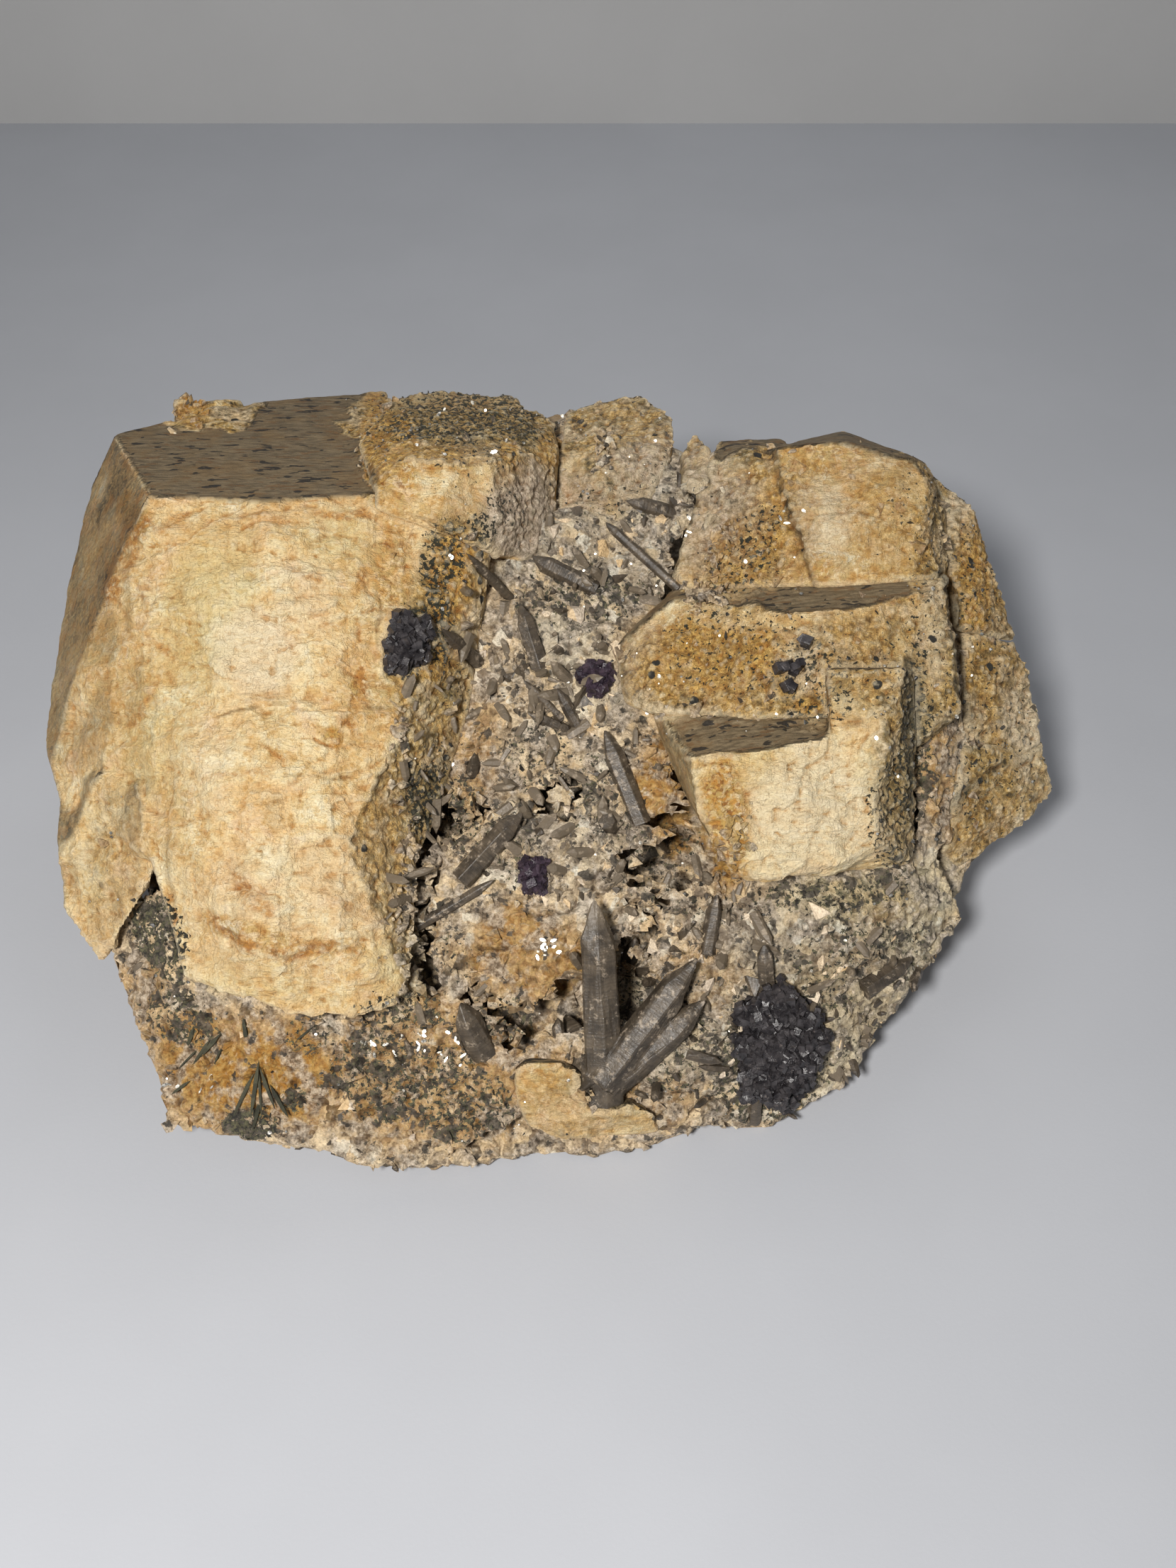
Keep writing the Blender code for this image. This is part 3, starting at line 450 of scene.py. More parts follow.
def near_others(node, points):
    """The distance from each point to the nearest other solid, in millimetres, up to the joints' reach."""
    others = []
    for name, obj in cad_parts.items():
        if name != node:
            low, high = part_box(name)
            others.append((np.array(low) / MM - JOINT_REACH, np.array(high) / MM + JOINT_REACH, obj))
    nearest = np.full(len(points), JOINT_REACH)
    for low, high, obj in others:
        chosen = np.flatnonzero(np.all((points > low) & (points < high), axis=1))
        if len(chosen):
            ends = [v.co[:] for v in obj.data.vertices]
            tree = BVHTree.FromPolygons(ends, [p.vertices[:] for p in obj.data.polygons])
            for index in chosen:
                found = tree.find_nearest(points[index] * MM, JOINT_REACH * MM)[3]
                if found is not None:
                    nearest[index] = min(nearest[index], found / MM)
    return nearest


def close_joints(lift, nearest, most):
    """Raises a skin where it meets another solid, so that no gap shows: the lift, and where."""
    joint = ease(JOINT_REACH - nearest, 0.0, JOINT_REACH - 0.5)
    return lift + joint * (np.clip(lift, 0.15 + 0.45 * nearest, most) - lift), joint


def thin_out(mesh, seldom_seen, share, most=None):
    """Fewer triangles where a skin is seldom seen, and no more than `most` in all."""
    obj = mesh_object("thin", mesh)
    group = obj.vertex_groups.new(name="seldom seen")
    group.add(np.flatnonzero(seldom_seen).tolist(), 1.0, "REPLACE")
    decimate = obj.modifiers.new("decimate", "DECIMATE")
    decimate.vertex_group = group.name
    hidden = float(np.mean(seldom_seen))
    decimate.ratio = 1.0 - hidden * (1.0 - share)
    if most:
        mesh.calc_loop_triangles()
        decimate.ratio = min(decimate.ratio, most / len(mesh.loop_triangles))
    return evaluated(obj)


def paint(mesh, name, values):
    """Stores one number for each corner, which the materials read."""
    layer = mesh.attributes.new(name, "FLOAT", "POINT")
    layer.data.foreach_set("value", np.asarray(values, np.float32))


def dress(name, mesh, material, node):
    """Makes a mesh a piece of the specimen, in place of a node where one is named."""
    mesh.name = name
    obj = mesh_object(name, mesh)
    mesh.materials.clear()
    mesh.materials.append(material)
    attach(obj, "root")
    if node:
        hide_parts(node)
    return obj


# Materials


class Graph:
    """Builds the nodes of one material."""

    def __init__(self, name):
        self.material = bpy.data.materials.new(name)
        self.material.use_nodes = True
        self.tree = self.material.node_tree
        self.shader = self.tree.nodes["Principled BSDF"]
        place = self.add("ShaderNodeTexCoord").outputs["Object"]
        self.place = self.vector("SCALE", place, scale=1.0 / MM)

    def add(self, kind, **settings):
        node = self.tree.nodes.new(kind)
        for key, value in settings.items():
            setattr(node, key, value)
        return node

    def put(self, socket, value):
        if isinstance(value, bpy.types.NodeSocket):
            self.tree.links.new(value, socket)
        elif isinstance(value, tuple) and len(value) == 3 and socket.type == "RGBA":
            socket.default_value = (*value, 1.0)
        else:
            socket.default_value = value

    def vector(self, operation, one, other=(0.0, 0.0, 0.0), scale=1.0):
        node = self.add("ShaderNodeVectorMath", operation=operation)
        self.put(node.inputs[0], one)
        self.put(node.inputs[1], other)
        if operation == "SCALE":
            node.inputs["Scale"].default_value = scale
        return node.outputs["Vector"]

    def math(self, operation, one, other=0.0):
        node = self.add("ShaderNodeMath", operation=operation)
        self.put(node.inputs[0], one)
        self.put(node.inputs[1], other)
        return node.outputs[0]

    def times(self, one, other):
        return self.math("MULTIPLY", one, other)

    def plus(self, one, other):
        return self.math("ADD", one, other)

    def less(self, one, other):
        return self.math("SUBTRACT", one, other)

    def most(self, one, other):
        return self.math("MAXIMUM", one, other)

    def painted(self, name):
        return self.add("ShaderNodeAttribute", attribute_name=name).outputs["Fac"]

    def noise(self, size, detail=3.0, place=None, distortion=0.0, roughness=0.55):
        node = self.add("ShaderNodeTexNoise")
        self.put(node.inputs["Vector"], place or self.place)
        node.inputs["Scale"].default_value = 1.0 / size
        node.inputs["Detail"].default_value = detail
        node.inputs["Distortion"].default_value = distortion
        node.inputs["Roughness"].default_value = roughness
        return node.outputs["Fac"]

    def voronoi(self, size, place=None):
        node = self.add("ShaderNodeTexVoronoi")
        self.put(node.inputs["Vector"], place or self.place)
        node.inputs["Scale"].default_value = 1.0 / size
        return node

    def pick(self, cells):
        """A number for each cell of a pattern."""
        node = self.add("ShaderNodeSeparateColor")
        self.put(node.inputs[0], cells.outputs["Color"])
        return node.outputs["Red"]

    def step(self, value, low, high, start=0.0, end=1.0):
        """Carries a value from low..high to start..end, smoothly, and holds it there."""
        node = self.add("ShaderNodeMapRange", interpolation_type="SMOOTHSTEP")
        self.put(node.inputs["Value"], value)
        for key, number in (("From Min", low), ("From Max", high), ("To Min", start), ("To Max", end)):
            self.put(node.inputs[key], number)
        return node.outputs["Result"]

    def spots(self, size, low, high, start=0.0, end=1.0, detail=4.0, **noise):
        """Noise gathered into soft-edged spots."""
        return self.step(self.noise(size, detail, **noise), low, high, start, end)

    def spotted(self, one, other, *numbers, **noise):
        """A color with spots of another."""
        return self.mix(self.spots(*numbers, **noise), one, other)

    def tinted(self, color, tone, share=1.0):
        return self.mix(share, color, tone, "MULTIPLY")

    def mix(self, share, one, other, blend="MIX"):
        node = self.add("ShaderNodeMix", data_type="RGBA", blend_type=blend)
        self.put(node.inputs[0], share)
        self.put(node.inputs[6], one)
        self.put(node.inputs[7], other)
        return node.outputs[2]

    def ramp(self, value, stops, interpolation="LINEAR"):
        node = self.add("ShaderNodeValToRGB")
        self.put(node.inputs[0], value)
        ramp = node.color_ramp
        ramp.interpolation = interpolation
        for number, (at, color) in enumerate(stops):
            element = ramp.elements[number] if number < 2 else ramp.elements.new(at)
            element.position = at
            element.color = (*color, 1.0)
        return node.outputs[0]

    def warped(self, size, strength):
        """Places shifted by noise, so that cells get ragged edges."""
        node = self.add("ShaderNodeTexNoise")
        self.put(node.inputs["Vector"], self.place)
        node.inputs["Scale"].default_value = 1.0 / size
        node.inputs["Detail"].default_value = 2.0
        shift = self.vector("SUBTRACT", node.outputs["Color"], (0.5, 0.5, 0.5))
        return self.vector("ADD", self.place, self.vector("SCALE", shift, scale=strength))

    def stretched(self, shares, size, strength):
        """Warped places, drawn out along the axes with the smaller shares."""
        return self.vector("MULTIPLY", self.warped(size, strength), shares)

    def finish(self, color, roughness, height=None, depth=0.3, **numbers):
        """Sets the surface. Height is in millimetres once it is multiplied by depth."""
        self.put(self.shader.inputs["Base Color"], color)
        self.put(self.shader.inputs["Roughness"], roughness)
        for key, value in numbers.items():
            self.shader.inputs[key.replace("_", " ")].default_value = value
        if height is not None:
            bump = self.add("ShaderNodeBump")
            bump.inputs["Strength"].default_value = 1.0
            bump.inputs["Distance"].default_value = depth * MM
            self.put(bump.inputs["Height"], height)
            self.put(self.shader.inputs["Normal"], bump.outputs["Normal"])
        return self.material


WHITE = (1.0, 1.0, 1.0)
CREAM = (0.93, 0.73, 0.42)
PALE_CREAM = (0.93, 0.80, 0.555)
PINK_CREAM = (0.90, 0.67, 0.46)
WARM_CREAM = (0.80, 0.53, 0.24)
ORANGE = (0.60, 0.31, 0.07)
OCHRE = (0.60, 0.40, 0.13)
RUST = (0.27, 0.10, 0.02)
YELLOW = (0.72, 0.63, 0.31)
DARK = (0.032, 0.03, 0.026)
DARK_GREEN = (0.05, 0.052, 0.03)


def speckled(g, size, tones):
    """A fine mixture of tones, from dark to pale."""
    stops = [(share, color) for share, color in zip((0.36, 0.42, 0.48, 0.55, 0.64), tones)]
    return g.ramp(g.noise(size, 6.0, roughness=0.72), stops)


def mottled(g, size, tones):
    """A soft mixture of tones in patches."""
    stops = [(share, color) for share, color in zip((0.32, 0.42, 0.49, 0.57, 0.68), tones)]
    return g.ramp(g.noise(size, 5.0, distortion=0.4, roughness=0.62), stops)


def flakes(g, place, size, count):
    """Flat steps with sharp edges: the height of each, where the edges are, and a number for each."""
    at = g.times(g.noise(size, 5.0, place=place, roughness=0.6), count)
    part = g.math("FRACT", at)
    edge = g.step(part, 0.84, 1.0)
    height = g.plus(g.math("FLOOR", at), edge)
    line = g.times(edge, g.less(1.0, g.step(part, 0.95, 1.0)))
    pick = g.add("ShaderNodeTexWhiteNoise", noise_dimensions="1D")
    g.put(pick.inputs["W"], g.math("FLOOR", at))
    return g.math("DIVIDE", height, count), line, pick.outputs["Value"]


def dark_grains(g, amount, size, seed_size):
    """Irregular dark grains: few where the amount is small, and nearly all at 1."""
    spots = g.noise(size, 4.0, place=g.warped(seed_size, 0.6), roughness=0.6)
    edge = g.less(0.74, g.times(amount, 0.305))
    return g.step(g.less(spots, edge), 0.0, 0.03)


def feldspar_material():
    g = Graph("feldspar")
    color = mottled(g, 7.0, [
        (0.78, 0.61, 0.36), (0.88, 0.64, 0.34), CREAM, (0.96, 0.82, 0.52), (0.98, 0.91, 0.68),
    ])
    color = g.spotted(color, PINK_CREAM, 5.0, 0.5, 0.72, 0.0, 0.6, distortion=0.6)
    small = mottled(g, 1.5, [(0.74, 0.60, 0.40), (0.90, 0.82, 0.68), WHITE, WHITE, (1.04, 1.03, 1.0)])
    color = g.tinted(color, small, 0.9)
    color = g.mix(g.times(g.painted("yellow"), 0.6), color, YELLOW)
    color = g.mix(g.times(g.painted("pale"), 0.8), color, (0.94, 0.84, 0.63))
    upright = g.stretched((1.0, 0.4, 0.4), 2.0, 0.7)
    tall_height, tall_edge, tall_pick = flakes(g, upright, 4.0, 17.0)
    level = g.stretched((0.3, 1.0, 1.0), 3.0, 1.2)
    flat_height, flat_edge, flat_pick = flakes(g, level, 3.4, 22.0)
    picked = g.times(g.plus(flat_pick, tall_pick), 0.5)
    color = g.mix(g.step(picked, 0.2, 0.9, 0.0, 0.75), color, g.tinted(color, (0.94, 0.86, 0.72)))
    streaks = g.noise(0.9, 5.0, place=level, roughness=0.65)
    warmth = g.plus(0.22, g.times(g.painted("stain"), 0.75))
    color = g.mix(g.times(g.step(streaks, 0.52, 0.68), warmth), color, WARM_CREAM)

    edges = g.times(g.most(flat_edge, g.times(tall_edge, 0.6)), 0.85)
    gaps = g.spots(2.0, 0.40, 0.58, detail=3.0)
    line_tone = g.spotted((0.55, 0.40, 0.23), (0.64, 0.36, 0.12), 4.0, 0.42, 0.6, detail=3.0)
    color = g.mix(g.times(edges, gaps), color, line_tone)

    # Stains: broad orange, and rust in streaks where the stain is strong
    blots = g.noise(2.2, 5.0, distortion=1.0, roughness=0.65)
    blots = g.plus(blots, g.times(g.less(picked, 0.5), 0.22))
    stain = g.times(g.painted("stain"), g.step(blots, 0.44, 0.52, 0.10, 1.0))
    color = g.mix(stain, color, g.spotted(ORANGE, OCHRE, 1.5, 0.4, 0.6, detail=5.0))
    rusty = g.times(g.step(g.painted("stain"), 0.5, 1.0), g.spots(0.8, 0.52, 0.62, detail=5.0))
    color = g.mix(g.times(rusty, 0.75), color, RUST)

    streak = g.times(g.painted("rust"), g.spots(0.8, 0.36, 0.54, 0.2, 1.0))
    streak_tone = g.spotted((0.60, 0.28, 0.06), (0.42, 0.18, 0.04), 1.0, 0.4, 0.6, detail=3.0)
    color = g.mix(streak, color, streak_tone)

    # Weathered crust: fine ochre, olive and cream grains
    crust = speckled(g, 1.5, [
        (0.05, 0.042, 0.022), (0.22, 0.145, 0.05), (0.54, 0.34, 0.10),
        (0.76, 0.54, 0.22), (0.92, 0.80, 0.54),
    ])
    pale_crust = speckled(g, 1.3, [
        (0.10, 0.09, 0.06), (0.38, 0.31, 0.20), (0.66, 0.53, 0.36), (0.80, 0.66, 0.46), (0.92, 0.83, 0.66),
    ])
    olive = speckled(g, 1.2, [
        (0.03, 0.03, 0.018), (0.10, 0.085, 0.04), (0.22, 0.17, 0.07),
        (0.42, 0.30, 0.12), (0.72, 0.55, 0.28),
    ])
    crust = g.spotted(crust, pale_crust, 6.0, 0.46, 0.58, 0.0, 0.85)
    dim = g.most(g.spots(4.5, 0.54, 0.62, distortion=0.5), g.step(g.painted("dark"), 0.3, 0.8))
    crust = g.mix(g.times(dim, 0.9), crust, olive)
    cover = g.times(g.painted("crust"), g.spots(2.4, 0.34, 0.5, 0.45, 1.0, detail=5.0))
    bright = g.spotted((0.46, 0.23, 0.04), (0.82, 0.55, 0.17), 1.2, 0.42, 0.6, detail=5.0, roughness=0.7)
    rich = g.times(g.step(g.painted("stain"), 0.5, 1.0), g.spots(3.0, 0.42, 0.56, 0.25, 0.9))
    crust = g.mix(g.times(g.painted("stain"), 0.25), crust, ORANGE)
    grit = g.spotted((0.50, 0.46, 0.38), (1.12, 1.1, 1.05), 0.7, 0.40, 0.60, detail=6.0, roughness=0.75)
    crust = g.tinted(g.mix(rich, crust, bright), grit, 0.9)
    crust = g.mix(g.times(g.painted("pale"), 0.85), crust, pale_crust)
    color = g.mix(cover, color, crust)
    bead = g.voronoi(5.5, place=g.warped(1.0, 0.5))
    some = g.step(g.pick(bead), 0.4, 0.42)
    beads = g.times(g.step(bead.outputs["Distance"], 0.15, 0.12), some)
    beads = g.times(beads, g.step(g.painted("crust"), 0.3, 0.5))
    color = g.mix(beads, color, (0.035, 0.034, 0.03))
    grey = speckled(g, 1.2, [
        (0.08, 0.07, 0.055), (0.26, 0.215, 0.165), (0.48, 0.39, 0.30),
        (0.64, 0.53, 0.42), (0.82, 0.72, 0.60),
    ])
    color = g.mix(g.painted("grey"), color, grey)

    # Natural faces: olive brown, with fine striations and long dark flecks
    lines = g.noise(0.55, 5.0, place=g.vector("MULTIPLY", g.place, (0.22, 1.0, 1.0)), roughness=0.6)
    face = g.mix(g.step(lines, 0.32, 0.68), (0.10, 0.074, 0.041), (0.225, 0.170, 0.098))
    face = g.spotted(face, (0.20, 0.125, 0.05), 7.0, 0.45, 0.65, 0.0, 0.5)
    rusty_flecks = g.noise(1.2, 3.0, place=g.stretched((0.35, 1.0, 1.0), 1.0, 0.5))
    face = g.mix(g.step(rusty_flecks, 0.57, 0.62, 0.0, 0.65), face, (0.15, 0.078, 0.028))
    flecks = g.noise(1.5, 2.0, place=g.stretched((0.42, 1.0, 1.0), 2.0, 0.8))
    face = g.mix(g.step(flecks, 0.61, 0.635, 0.0, 0.95), face, (0.020, 0.016, 0.012))
    color = g.mix(g.painted("natural"), color, face)
    side_grain = g.spots(0.8, 0.38, 0.62, detail=6.0, roughness=0.75)
    side = g.mix(side_grain, (0.045, 0.034, 0.018), (0.30, 0.20, 0.085))
    side = g.spotted(side, (0.26, 0.115, 0.025), 4.0, 0.48, 0.58, 0.0, 0.6, detail=5.0)
    side = g.mix(g.step(flecks, 0.58, 0.62, 0.0, 0.9), side, (0.02, 0.016, 0.012))
    color = g.mix(g.painted("brown"), color, side)

    grains = g.most(dark_grains(g, g.painted("dark"), 0.75, 0.5), g.painted("line"))
    color = g.mix(grains, color, g.mix(g.noise(4.0, 1.0), DARK, DARK_GREEN))
    fine = g.noise(0.45, 6.0, roughness=0.7)
    color = g.tinted(color, g.mix(g.step(fine, 0.3, 0.6), (0.92, 0.88, 0.83), (1.06, 1.05, 1.03)))
    # Painted shade: darker and browner where the surface lies in a hollow
    pit_shade = g.step(g.painted("hollow"), 0.02, 0.28, 0.0, 0.85)
    color = g.mix(pit_shade, color, g.tinted(color, (0.62, 0.44, 0.26)))
    # Painted highlight: paler cream along raised edges, except on the natural faces
    edge = g.step(g.painted("hollow"), -0.22, -0.04, 0.35, 0.0)
    color = g.mix(g.times(edge, g.less(1.0, g.painted("natural"))), color, PALE_CREAM)
    ledges = g.noise(0.7, 7.0, place=g.stretched((0.45, 1.0, 1.0), 1.2, 0.5), roughness=0.72)
    rough = g.less(1.0, g.times(g.painted("natural"), 0.75))
    height = g.plus(ledges, g.times(g.most(grains, beads), 0.3))
    height = g.plus(height, g.times(g.plus(flat_height, tall_height), 2.6))
    height = g.times(height, rough)
    return g.finish(color, g.step(fine, 0.3, 0.7, 0.55, 0.78), height, 0.8, Specular_IOR_Level=0.4)


def matrix_material():
    g = Graph("matrix")
    place = g.warped(1.1, 1.0)
    cell = g.voronoi(2.2, place=place)
    grain = g.ramp(g.pick(cell), [
        (0.0, (0.08, 0.068, 0.052)), (0.14, (0.26, 0.20, 0.14)), (0.26, (0.52, 0.40, 0.26)),
        (0.42, (0.80, 0.61, 0.37)), (0.66, (0.91, 0.74, 0.50)), (0.88, (0.96, 0.87, 0.70)),
    ], "CONSTANT")
    mixed = speckled(g, 1.0, [
        (0.045, 0.04, 0.033), (0.22, 0.17, 0.12), (0.54, 0.42, 0.28),
        (0.78, 0.63, 0.44), (0.91, 0.82, 0.68),
    ])
    color = g.spotted(grain, mixed, 2.6, 0.40, 0.60)
    color = g.mix(g.times(g.painted("pale"), 0.7), color, (0.93, 0.82, 0.62))
    stain = g.times(g.painted("stain"), g.spots(1.6, 0.30, 0.46, 0.3, 1.0, detail=5.0, distortion=0.8))
    stain_tone = g.spotted((0.42, 0.20, 0.035), (0.56, 0.34, 0.10), 0.9, 0.4, 0.6, detail=5.0)
    color = g.mix(stain, color, stain_tone)
    color = g.mix(g.times(g.painted("yellow"), 0.5), color, YELLOW)
    grey = speckled(g, 0.9, [
        (0.05, 0.045, 0.037), (0.17, 0.142, 0.112), (0.40, 0.335, 0.265),
        (0.64, 0.55, 0.45), (0.84, 0.75, 0.64),
    ])
    smoky = g.spots(4.0, 0.48, 0.6, 0.0, 0.7)
    color = g.mix(g.painted("grey"), color, g.tinted(color, (0.86, 0.97, 1.10)))
    color = g.mix(g.most(g.times(g.painted("grey"), 0.4), smoky), color, grey)

    blots = dark_grains(g, g.most(g.painted("dark"), 0.42), 2.6, 1.2)
    glassy = g.spotted((0.045, 0.042, 0.037), (0.17, 0.145, 0.115), 1.2, 0.38, 0.66)
    color = g.mix(g.times(blots, 0.9), color, glassy)
    grains = dark_grains(g, g.painted("dark"), 0.8, 0.6)
    dim = g.spotted(DARK, (0.16, 0.15, 0.085), 0.7, 0.4, 0.62, roughness=0.7)
    color = g.mix(grains, color, dim)
    fine = g.noise(0.4, 6.0, roughness=0.7)
    color = g.tinted(color, g.mix(g.step(fine, 0.3, 0.6), (0.60, 0.57, 0.52), (1.1, 1.09, 1.07)))
    # Painted shade: much darker where the surface lies in a hollow
    pit_shade = g.step(g.painted("hollow"), 0.04, 0.36, 0.0, 0.85)
    color = g.mix(pit_shade, color, g.tinted(color, (0.30, 0.26, 0.22)))
    # Painted highlight: lighter along raised edges
    edge = g.step(g.painted("hollow"), -0.30, -0.05, 0.4, 0.0)
    color = g.mix(edge, color, g.tinted(color, (1.25, 1.22, 1.18)))
    color = g.mix(g.painted("away"), color, g.mix(0.3, color, (0.46, 0.34, 0.20)))
    bumps = g.step(cell.outputs["Distance"], 0.0, 0.6, 0.7, 0.0)
    height = g.plus(bumps, g.noise(0.6, 7.0, roughness=0.75))
    return g.finish(color, g.step(fine, 0.3, 0.7, 0.5, 0.8), height, 0.6, Specular_IOR_Level=0.45)


def quartz_material():
    g = Graph("smoky quartz")
    tone = g.noise(2.5, 4.0)
    color = g.mix(g.step(tone, 0.3, 0.7), (0.044, 0.034, 0.024), (0.128, 0.098, 0.066))
    lengthwise = g.add("ShaderNodeCombineXYZ")
    g.put(lengthwise.inputs[0], g.painted("along"))
    bands = g.noise(1.0 / 2.2, 3.0, place=lengthwise.outputs[0], roughness=0.5)
    color = g.mix(g.step(bands, 0.4, 0.65, 0.0, 0.5), color, (0.04, 0.031, 0.023))
    pale_tip = g.step(g.painted("along"), 25.0, 30.0, 0.0, 0.55)
    color = g.mix(pale_tip, color, (0.27, 0.215, 0.15))
    dust = g.spots(1.6, 0.54, 0.66, 0.0, 0.6, detail=6.0, roughness=0.72)
    color = g.mix(dust, color, (0.52, 0.42, 0.31))
    fine = g.noise(0.35, 5.0)
    height = g.plus(g.times(bands, 0.8), g.times(fine, 0.6))
    rough = g.step(fine, 0.35, 0.7, 0.36, 0.6)
    return g.finish(color, rough, height, 0.16, IOR=1.545, Transmission_Weight=0.15)


def fluorite_material():
    g = Graph("dark fluorite")
    tone = g.noise(1.5, 3.0)
    color = g.mix(g.step(tone, 0.35, 0.7), (0.018, 0.016, 0.018), (0.06, 0.054, 0.056))
    dust = g.spots(0.8, 0.62, 0.72, 0.0, 0.4, detail=5.0)
    color = g.mix(dust, color, (0.24, 0.2, 0.18))
    fine = g.noise(0.3, 4.0)
    return g.finish(color, g.step(fine, 0.35, 0.7, 0.16, 0.42), fine, 0.08, IOR=1.434)


def purple_material():
    g = Graph("purple fluorite")
    tone = g.noise(1.2, 3.0)
    color = g.mix(g.step(tone, 0.35, 0.7), (0.022, 0.015, 0.023), (0.07, 0.048, 0.066))
    fine = g.noise(0.3, 4.0)
    rough = g.step(fine, 0.35, 0.7, 0.16, 0.45)
    return g.finish(color, rough, fine, 0.08, IOR=1.434, Transmission_Weight=0.1)


def plain_grain_material(name, stops, rough, bump=0.15, size=1.6, **numbers):
    """A material for scattered small pieces: each patch of a few millimetres picks its own tone."""
    g = Graph(name)
    cell = g.voronoi(size)
    color = g.ramp(g.pick(cell), stops)
    fine = g.noise(0.4, 5.0)
    color = g.tinted(color, g.mix(g.step(fine, 0.3, 0.65), (0.7, 0.68, 0.65), WHITE))
    return g.finish(color, g.step(fine, 0.3, 0.7, rough - 0.1, rough + 0.1), fine, bump, **numbers)


# Skins of the large pieces


def paint_regions(mesh, points, facing, matrix):
    """Stores where a skin is stained, dark, grey and so on."""
    place = seen(points)
    shown = ease(facing @ OUT, -0.15, 0.3)
    around = (1.0 - shown) * (0.45 + 0.5 * fractal(points, 14.0, 3, 5)) * (0.9 if matrix else 0.7)
    paint(mesh, "stain", np.clip(region(place, "stain") * shown + around, 0.0, 1.0))
    paint(mesh, "yellow", region(place, "yellow") * shown)
    dark = region(place, "dark") * shown
    elsewhere = (0.20 + 0.32 * fractal(points, 9.0, 3, 6)) * (0.8 if matrix else 0.3 * (1.0 - shown))
    paint(mesh, "dark", np.clip(np.maximum(dark, elsewhere), 0.0, 1.0))
    return place, shown


def paint_shades(mesh, place, shown):
    """Stores where the rock is greyer and paler."""
    for name in ("grey", "pale"):
        paint(mesh, name, region(place, name) * shown)


def broken_relief(points, seed):
    """Heights, in millimetres, of a face broken along the cleavage: ledges across, and fewer upright."""
    flat = points @ np.column_stack((ACROSS, UP, OUT))
    flat += 0.7 * np.column_stack([noise(points, 5.0, seed + axis) for axis in range(3)])
    level = flat * (0.4, 1.0, 0.7)
    upright = flat * (1.0, 0.35, 0.7)
    rise = terraced(1.9 * fractal(level, 9.0, 3, seed + 3), 0.6)
    rise += terraced(1.1 * fractal(upright, 6.0, 3, seed + 13), 0.4)
    rise += 0.4 * cleavage(flat[:, 0], flat[:, 1], (8.0, 5.0), seed + 50)
    rise += 0.18 * cleavage(flat[:, 0], flat[:, 1], (3.4, 1.8), seed + 70)
    rise += terraced(0.8 * fractal(level, 2.8, 3, seed + 23), 0.22)
    return rise + 0.14 * fractal(level, 1.1, 2, seed + 33)


def feldspar_skin(node, material, voxel, seed, thin_below=None):
    """A feldspar crystal: natural faces nearly flat, and a front broken in cleavage steps."""
    mesh = skin_of(node, voxel, rounding=2 if node == "feldspar_left" else 14)
    if thin_below:
        mesh = thin_out(mesh, thin_below(directions(mesh)), HIDDEN_SHARE)
    points, facing = corners(mesh), directions(mesh)
    place, shown = paint_regions(mesh, points, facing, matrix=False)

    natural = ease(facing[:, 1], -0.12, 0.1) * ease(facing[:, 2], 0.3, 0.6)
    side = ease(-facing[:, 0], 0.45, 0.7) * ease(facing[:, 1], -0.75, -0.4)
    right = ease(facing[:, 0], 0.55, 0.8)
    broken = (1.0 - natural) * (1.0 - 0.75 * side)
    crust = region(place, "crust") * shown
    crust = np.maximum(crust, 0.85 * right * shown)
    if node == "feldspar_knob":
        crust = np.maximum(crust, 0.9 * natural)
    line = near_lines(place, CRACKS, 61) * shown

    rise = broken_relief(points, seed)
    first, _, number = cells(points, 1.3, seed + 13)
    grains = (0.55 - first) * (0.5 + number)
    lift = broken * (1.0 - 0.65 * crust) * STEEP_STEPS.get(node, OTHER_STEPS) * 0.7 * rise
    lift += crust * (0.8 * grains + 0.8 * fractal(points, 3.2, 4, seed + 8))
    lift += crust * 0.7 * fractal(points, 8.0, 2, seed + 6)
    lift += (1.0 - broken) * 0.06 * fractal(points, 1.6, 3, seed + 9)
    lift += (1.0 - broken) * 0.12 * fractal(points, 7.0, 3, seed + 4)
    lump = region(place, "lump") * ease(-place[:, 2], 10.0, 20.0) * (node == "feldspar_left")
    crust = np.maximum(crust, lump)
    lift += lump * 1.1 * fractal(points, 3.6, 3, seed + 7)
    lift += OVERLAP - 0.45 * line
    lift, joint = close_joints(lift, near_others(node, points), 9.0)
    paint(mesh, "joint", joint)
    set_corners(mesh, points + facing * lift[:, None])

    ledge = region(place, "ledge") * natural
    covered = ease(crust + 0.15 * fractal(points, 1.8, 2, seed + 5), 0.38, 0.52) * (1.0 - ledge)
    paint(mesh, "natural", natural * (1.0 - covered))
    paint(mesh, "crust", np.maximum(crust * (1.0 - ledge), natural * covered))
    paint(mesh, "pale", region(place, "pale") * shown)
    paint(mesh, "grey", region(place, "grey") * shown * (1.0 - 0.8 * natural))
    paint(mesh, "brown", side * (0.75 + 0.25 * noise(points, 6.0, 3)) * (1.0 - natural))
    paint(mesh, "line", 0.8 * line)
    paint(mesh, "rust", near_lines(place, RUST_STREAKS, 91) * shown * (node == "feldspar_left"))
    # The material paints shade in these hollows and highlights on the raised edges
    paint(mesh, "hollow", hollows(mesh))
    return dress(node + "_skin", mesh, material, node)


